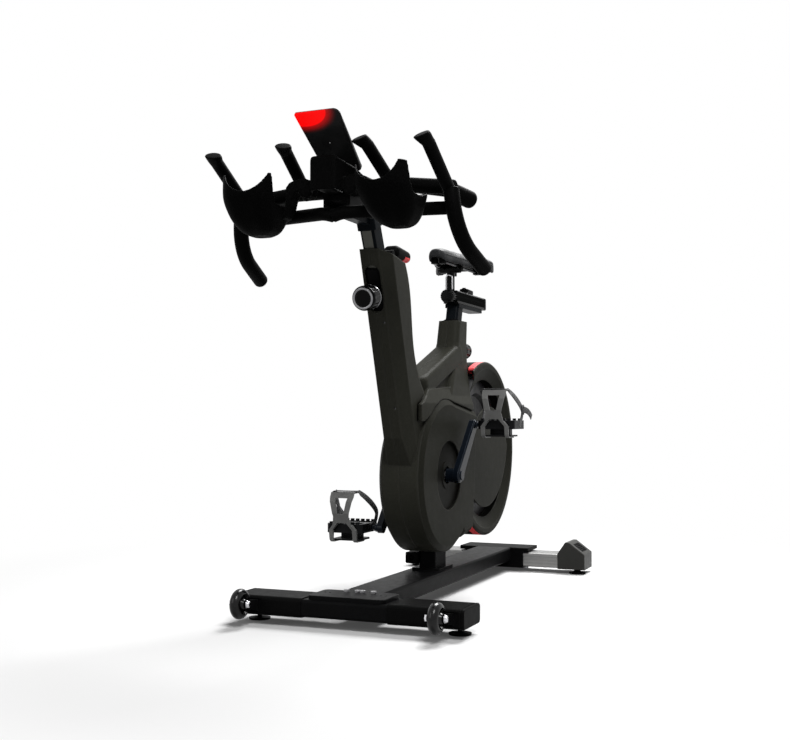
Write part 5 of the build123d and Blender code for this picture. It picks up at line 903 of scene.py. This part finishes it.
def blown(piece):
    """Inflates the pad as cloth over its foam, its foot held; no point moves further than SWELL."""
    melted(piece, PAD_VOXEL)
    held = piece.vertex_groups.new(name="held")
    rows = flowing(SADDLE_ROWS, 4)
    for vertex in piece.data.vertices:
        x, y, z = vertex.co / MM
        _, half, _, foot, _ = min(rows, key=lambda row: abs(row[0] - y))
        if abs(x) < half - 6 and z < foot + 3:
            held.add([vertex.index], 1, "REPLACE")
    before = [vertex.co.copy() for vertex in piece.data.vertices]
    cloth = changed(piece, "CLOTH").settings
    adjust(cloth, quality=6, mass=0.3, tension_stiffness=12, use_pressure=True)
    adjust(cloth, uniform_pressure_force=4, vertex_group_mass="held")
    cloth.effector_weights.gravity = 0
    for step in range(1, FRAMES + 1):
        scene.frame_set(step)
    applied(piece)
    scene.frame_set(1)
    for vertex, start in zip(piece.data.vertices, before):
        move = vertex.co - start
        if move.length > SWELL * MM:
            vertex.co = start + move.normalized() * SWELL * MM
    changed(piece, "SMOOTH", iterations=3)
    changed(piece, "SUBSURF", levels=1, render_levels=1)
    return applied(piece)


def grooved(piece):
    """A shallow channel down the middle of the seat."""
    for vertex in piece.data.vertices:
        x, y, z = vertex.co / MM
        if z < GROOVE_DIP_FROM or not GROOVE_START < y < GROOVE_END:
            continue
        ends = min(1, (y - GROOVE_START) / GROOVE_EASE, (GROOVE_END - y) / GROOVE_EASE)
        vertex.co.z -= GROOVE_DEPTH * ends * math.exp(-(x / GROOVE_WIDTH) ** 2) * MM
    piece.data.update()


def welt_path(piece):
    """Line round the flank of the pad where its top cover meets its side panel."""
    tree = ray_tree(piece.data)
    flank = [WELT_FRONT + (WELT_BACK - WELT_FRONT) * i / WELT_STEPS for i in range(WELT_STEPS + 1)]
    rays = [(WELT_REACH, y, (-1, 0, 0), y) for y in flank]
    rays += [(66 * math.cos(math.pi * i / 12), 380, (0, -1, 0), 336) for i in range(1, 12)]
    rays += [(-WELT_REACH, y, (1, 0, 0), y) for y in flank[::-1]]
    rays += [(15 * math.cos(math.pi * (1 + i / 6)), 40, (0, 1, 0), 80) for i in range(1, 6)]
    path = []
    for x, y, way, height_at in rays:
        height = WELT_Z - WELT_FALL * min(1, max(0, (height_at - 90) / 200))
        hit = tree.ray_cast(Vector((x, y, height)), Vector(way))[0]
        if hit:
            path.append(hit)
    for _ in range(2):
        path = [(path[i - 1] + path[i] * 2 + path[(i + 1) % len(path)]) / 4 for i in range(len(path))]
    return path


def welt(path):
    """Closed round cord laid along a path."""
    rings = []
    for centre, heading in zip(path, headings(path, True)):
        side = heading.cross(Z_WAY).normalized()
        rings.append(circle(centre, side, side.cross(heading), WELT_R, 10))
    return skinned("saddle_welt", rings, closed=True)


def saddle():
    pad = blown(saddle_blank())
    grooved(pad)
    finished(pad, saddle_leather, "saddle", ["saddle_pad"], sharp=80)
    finished(welt(welt_path(pad)), strap_weave, "saddle")


# ---- seat slider: ribbed drum, grooved rail and the saddle's bracket ----

SLIDER_MIDDLE, DRUM_R, DRUM_BACK, DRUM_RIBS, RIB_DEPTH = 769.5, 18.5, 196, 18, 1.4
RAIL_SIDE = ((20.5, 752), (20.5, 759), (18.5, 760.5), (18.5, 764.5), (20.5, 766), (20.5, 772), (18.5, 773.5),
             (18.5, 777.5), (20.5, 779), (20.5, 783), (16, 787.5))
CAP_HALF, CAP_HALF_HEIGHT, CAP_BEND, CAP_LENGTH = 21.5, 17.2, 5, 8
BLOCK_TOP = 787
BRACKET_HALF, BRACKET_FOOT, BRACKET_TOP, BRACKET_Y, BRACKET_R = 11, 788, 829, 181, 2


def slider():
    """The CAD slider made a ribbed drum and a grooved rail, with a steel loop on its pin."""
    block = placed("slider_rail", nodes["seat_slider"].data.copy())
    lowest, highest = node_box("seat_slider")
    outline = list(RAIL_SIDE) + [(-x, z) for x, z in RAIL_SIDE[::-1]]
    room = prism("room", outline, DRUM_BACK - 2, highest.y - CAP_LENGTH + 1, from_front)
    cap = prism("cap", rectangle(CAP_HALF, CAP_HALF_HEIGHT, CAP_BEND), highest.y - CAP_LENGTH, highest.y + 1,
                lambda x, z, y: (x, y, z + SLIDER_MIDDLE))
    rings = []
    for y, size in ((lowest.y - 1, DRUM_R - 3), (lowest.y + 2, DRUM_R - 0.8), (lowest.y + 5, DRUM_R),
                    (DRUM_BACK - 3, DRUM_R), (DRUM_BACK, DRUM_R - 1.5)):
        ring = []
        for angle in turns(DRUM_RIBS * 8):
            reach = size - RIB_DEPTH * max(0, math.cos(DRUM_RIBS * angle)) ** 2
            ring.append(Vector((reach * math.cos(angle), y, SLIDER_MIDDLE + reach * math.sin(angle))))
        rings.append(ring)
    above = prism("above", rectangle(30, 150, 2), BLOCK_TOP, highest.z + 5,
                  lambda x, y, z: (x, y + (lowest.y + highest.y) / 2, z))
    combined(room, [cap, skinned("drum", rings), above])
    combined(block, [room], "INTERSECT")
    finished(block, anodised_black, "seat_slider", ["seat_slider"])
    leg, top = BRACKET_HALF - BRACKET_R, BRACKET_TOP - BRACKET_R
    corners = ((-leg, BRACKET_FOOT), (-leg, top), (leg, top), (leg, BRACKET_FOOT))
    path = rounded_path([(x, BRACKET_Y, z) for x, z in corners], leg - 0.5, 3)
    finished(swept("saddle_bracket", path, BRACKET_R, 0.5, 0.5, 16), steel, "seat_slider")


# ---- toe straps ----

STRAP_HALF, STRAP_THICK = 8.5, 1.8
STRAP_SIDE = (
    # across, rearward and up from the pedal's middle
    (50.3, 4, -4), (50.6, 12, 8), (51.2, 22, 22), (51, 24, 38), (47, 8, 56), (40, -18, 75), (33, -40, 88),
)
STRAP_TOP = [Vector((across, -47, 90.6)) for across in (26, 13, 0, -13, -26)]
STRAP_TAIL = ((52.5, 24, 38), (55, 34, 38), (59, 48, 34), (61, 62, 27), (62, 72, 19))
PEDAL_MIDDLE_RISE, TAIL_WIDTH = 30, Vector((0, 0.5, 0.86))
BUCKLE_PLACE, BUCKLE_HALF, BUCKLE_MARGIN, BUCKLE_R = (53.4, 24, 38), 6.5, 3.5, 1.5


def ribbon(name, centres, widths):
    """Flat band through centres, lying along widths."""
    rings = []
    for centre, width, heading in zip(centres, widths, headings(centres)):
        width = (width - heading * width.dot(heading)).normalized()
        up = heading.cross(width)
        outline = rectangle(STRAP_HALF, STRAP_THICK / 2, STRAP_THICK * 0.45, 3)
        rings.append([centre + width * u + up * v for u, v in outline])
    return skinned(name, rings)


def strap_width(point):
    """The way a strap lies across: slanted on its sides, level over the toe and under the pedal."""
    if point.z <= 30:
        return Vector((0, 1, 0.1))
    return Vector((0, 0.68, 0.73)).lerp(Vector((0, 1, 0)), min(1, max(0, (point.z - 62) / 26)))


def toe_strap(side):
    lowest, highest = node_box("pedal_" + side)
    middle = (lowest + highest) / 2
    middle.z = lowest.z + PEDAL_MIDDLE_RISE
    out = 1 if side == "left" else -1

    def at(p):
        return middle + Vector((out * p.x, p.y, p.z))

    up_side = [Vector(p) for p in flowing(STRAP_SIDE, 5)]
    loop = up_side + STRAP_TOP + [Vector(mirrored(p)) for p in up_side[::-1]]
    tail = [Vector(p) for p in flowing(STRAP_TAIL, 4)]
    band = ribbon("toe_webbing_" + side, [at(p) for p in loop], [strap_width(p) for p in loop])
    combined(band, [ribbon("tail", [at(p) for p in tail], [TAIL_WIDTH] * len(tail))])
    finished(band, strap_weave, "pedal_" + side, ["toe_strap_" + side], sharp=60)
    # roller buckle that grips the strap
    x, y, z = BUCKLE_PLACE
    loop = [Vector((x, y + u, z + v)) for u, v in rectangle(BUCKLE_HALF, STRAP_HALF + BUCKLE_MARGIN, 3, 4)]
    rings = [[at(p) for p in circle(centre, X_WAY, heading.cross(X_WAY), BUCKLE_R, 10)]
             for centre, heading in zip(loop, headings(loop, True))]
    finished(skinned("strap_buckle_" + side, rings, closed=True), dark_steel, "pedal_" + side)


# ---- screws sunk in the front of the upright ----

SCREW_X, SCREW_HEIGHTS, SCREW_SPREAD, SCREW_SUNK = 15, (770, 664, 470), 5.5, 2.2
SCREW_PROFILE = ((2.45, 4), (2.45, 0.4), (2.1, 0), (1.2, 0), (1.05, 1.4))


def shell_screws():
    """Socket-head screws down the front of the casing, each a little below its surface."""
    tree = ray_tree(nodes["body_shell_left"].data)
    screws = []
    for z in SCREW_HEIGHTS:
        starts = [Vector((SCREW_X + spread, -700, z)) for spread in (-SCREW_SPREAD, SCREW_SPREAD)]
        hits = [hit for hit in (tree.ray_cast(start, Y_WAY)[0] for start in starts) if hit]
        if not hits:
            continue
        depth = max(hit.y for hit in hits) + SCREW_SUNK
        rings = [circle(Vector((SCREW_X, depth + out, z)), X_WAY, Z_WAY, radius, 24)
                 for radius, out in SCREW_PROFILE]
        screws.append(skinned("casing_screws", rings))
    if screws:
        combined(screws[0], screws[1:])
        finished(screws[0], dark_steel, "frame")


handlebar()
tray()
console()
scale_plate()
height_knob()
resistance_lever()
saddle()
slider()
toe_strap("left")
toe_strap("right")
shell_screws()


# ---- floor, light and camera ----

FLOOR_R, FLOOR_TONE, FLOOR_BOUNCE, FLOOR_GLOW = 14000, 0.6, 0.3, 0.05
FLOOR_FADE = (0.75, 1.7)
WORLD_LEVEL = 0.14
LAMPS = (
    # name, place, aim, size, power
    ("overhead", (0.25, 1.4, 2.7), (0, 0, 0.4), (1.5, 1.5), 170),
    ("key", (1.5, -2.1, 2.8), (0, 0, 0.5), (1.2, 1.2), 85),
    ("front", (-1.6, -2.8, 1.5), (0, -0.2, 0.6), (0.9, 1.8), 16),
)
CAMERA_PLACE, CAMERA_TURN, CAMERA_LENS = (1.029, -2.633, 0.452), (92.34, 0, 22.84), 51.51


def seen_directly(graph):
    """1 for the camera's, reflected and transmitted rays, and 0 for the light that falls on the object."""
    rays = graph.node("LightPath").outputs
    seen = graph.math("MAXIMUM", rays["Is Camera Ray"], rays["Is Glossy Ray"])
    return graph.math("MAXIMUM", seen, rays["Is Transmission Ray"])


def white_floor():
    """Pale floor that shows white away from the object and keeps its shadow."""
    rim = circle(Vector(), X_WAY, Y_WAY, FLOOR_R, 96)
    floor = raw("floor", rim, [tuple(range(len(rim)))])
    material = bpy.data.materials.new("floor_white")
    graph = Graph(material)
    graph.tree.nodes.remove(graph.tree.nodes["Principled BSDF"])
    glow = graph.node("Emission", Strength=FLOOR_GLOW)
    pale = graph.joined(graph.node("BsdfDiffuse", Color=FLOOR_TONE), glow)
    away = graph.math("LENGTH", graph.node("TexCoord").outputs["Object"], kind="VectorMath")
    fade = graph.remap(away, *FLOOR_FADE, smooth=True)
    shown = graph.joined(pale, graph.node("Emission", Strength=1), fade)
    final = graph.joined(graph.node("BsdfDiffuse", Color=FLOOR_BOUNCE), shown, seen_directly(graph))
    graph.fill(graph.tree.nodes["Material Output"], Surface=final.outputs[0])
    floor.data.materials.append(material)


def studio_world():
    """Even light from all round, behind which everything shows white."""
    scene.world = bpy.data.worlds.new("studio")
    graph = Graph(scene.world)
    lit = graph.fill(graph.tree.nodes["Background"], Color=1, Strength=WORLD_LEVEL)
    white = graph.node("Background", Color=1, Strength=1)
    both = graph.joined(lit, white, seen_directly(graph))
    graph.fill(graph.tree.nodes["World Output"], Surface=both.outputs[0])


def softbox(name, place, aim, size, power):
    lamp = bpy.data.lights.new(name, "AREA")
    lamp.shape = "RECTANGLE"
    lamp.size, lamp.size_y = size
    lamp.energy = power
    holder = placed(name, lamp)
    holder.location = place
    holder.rotation_euler = (Vector(aim) - Vector(place)).to_track_quat("-Z", "Y").to_euler()


white_floor()
studio_world()
for lamp in LAMPS:
    softbox(*lamp)

camera_data = bpy.data.cameras.new("camera")
camera_data.sensor_width = 36
camera_data.lens = CAMERA_LENS
camera_data.clip_end = 60
camera = placed("camera", camera_data)
camera.location = CAMERA_PLACE
camera.rotation_euler = Euler([math.radians(turn) for turn in CAMERA_TURN])
scene.camera = camera
scene.view_settings.view_transform = "Standard"
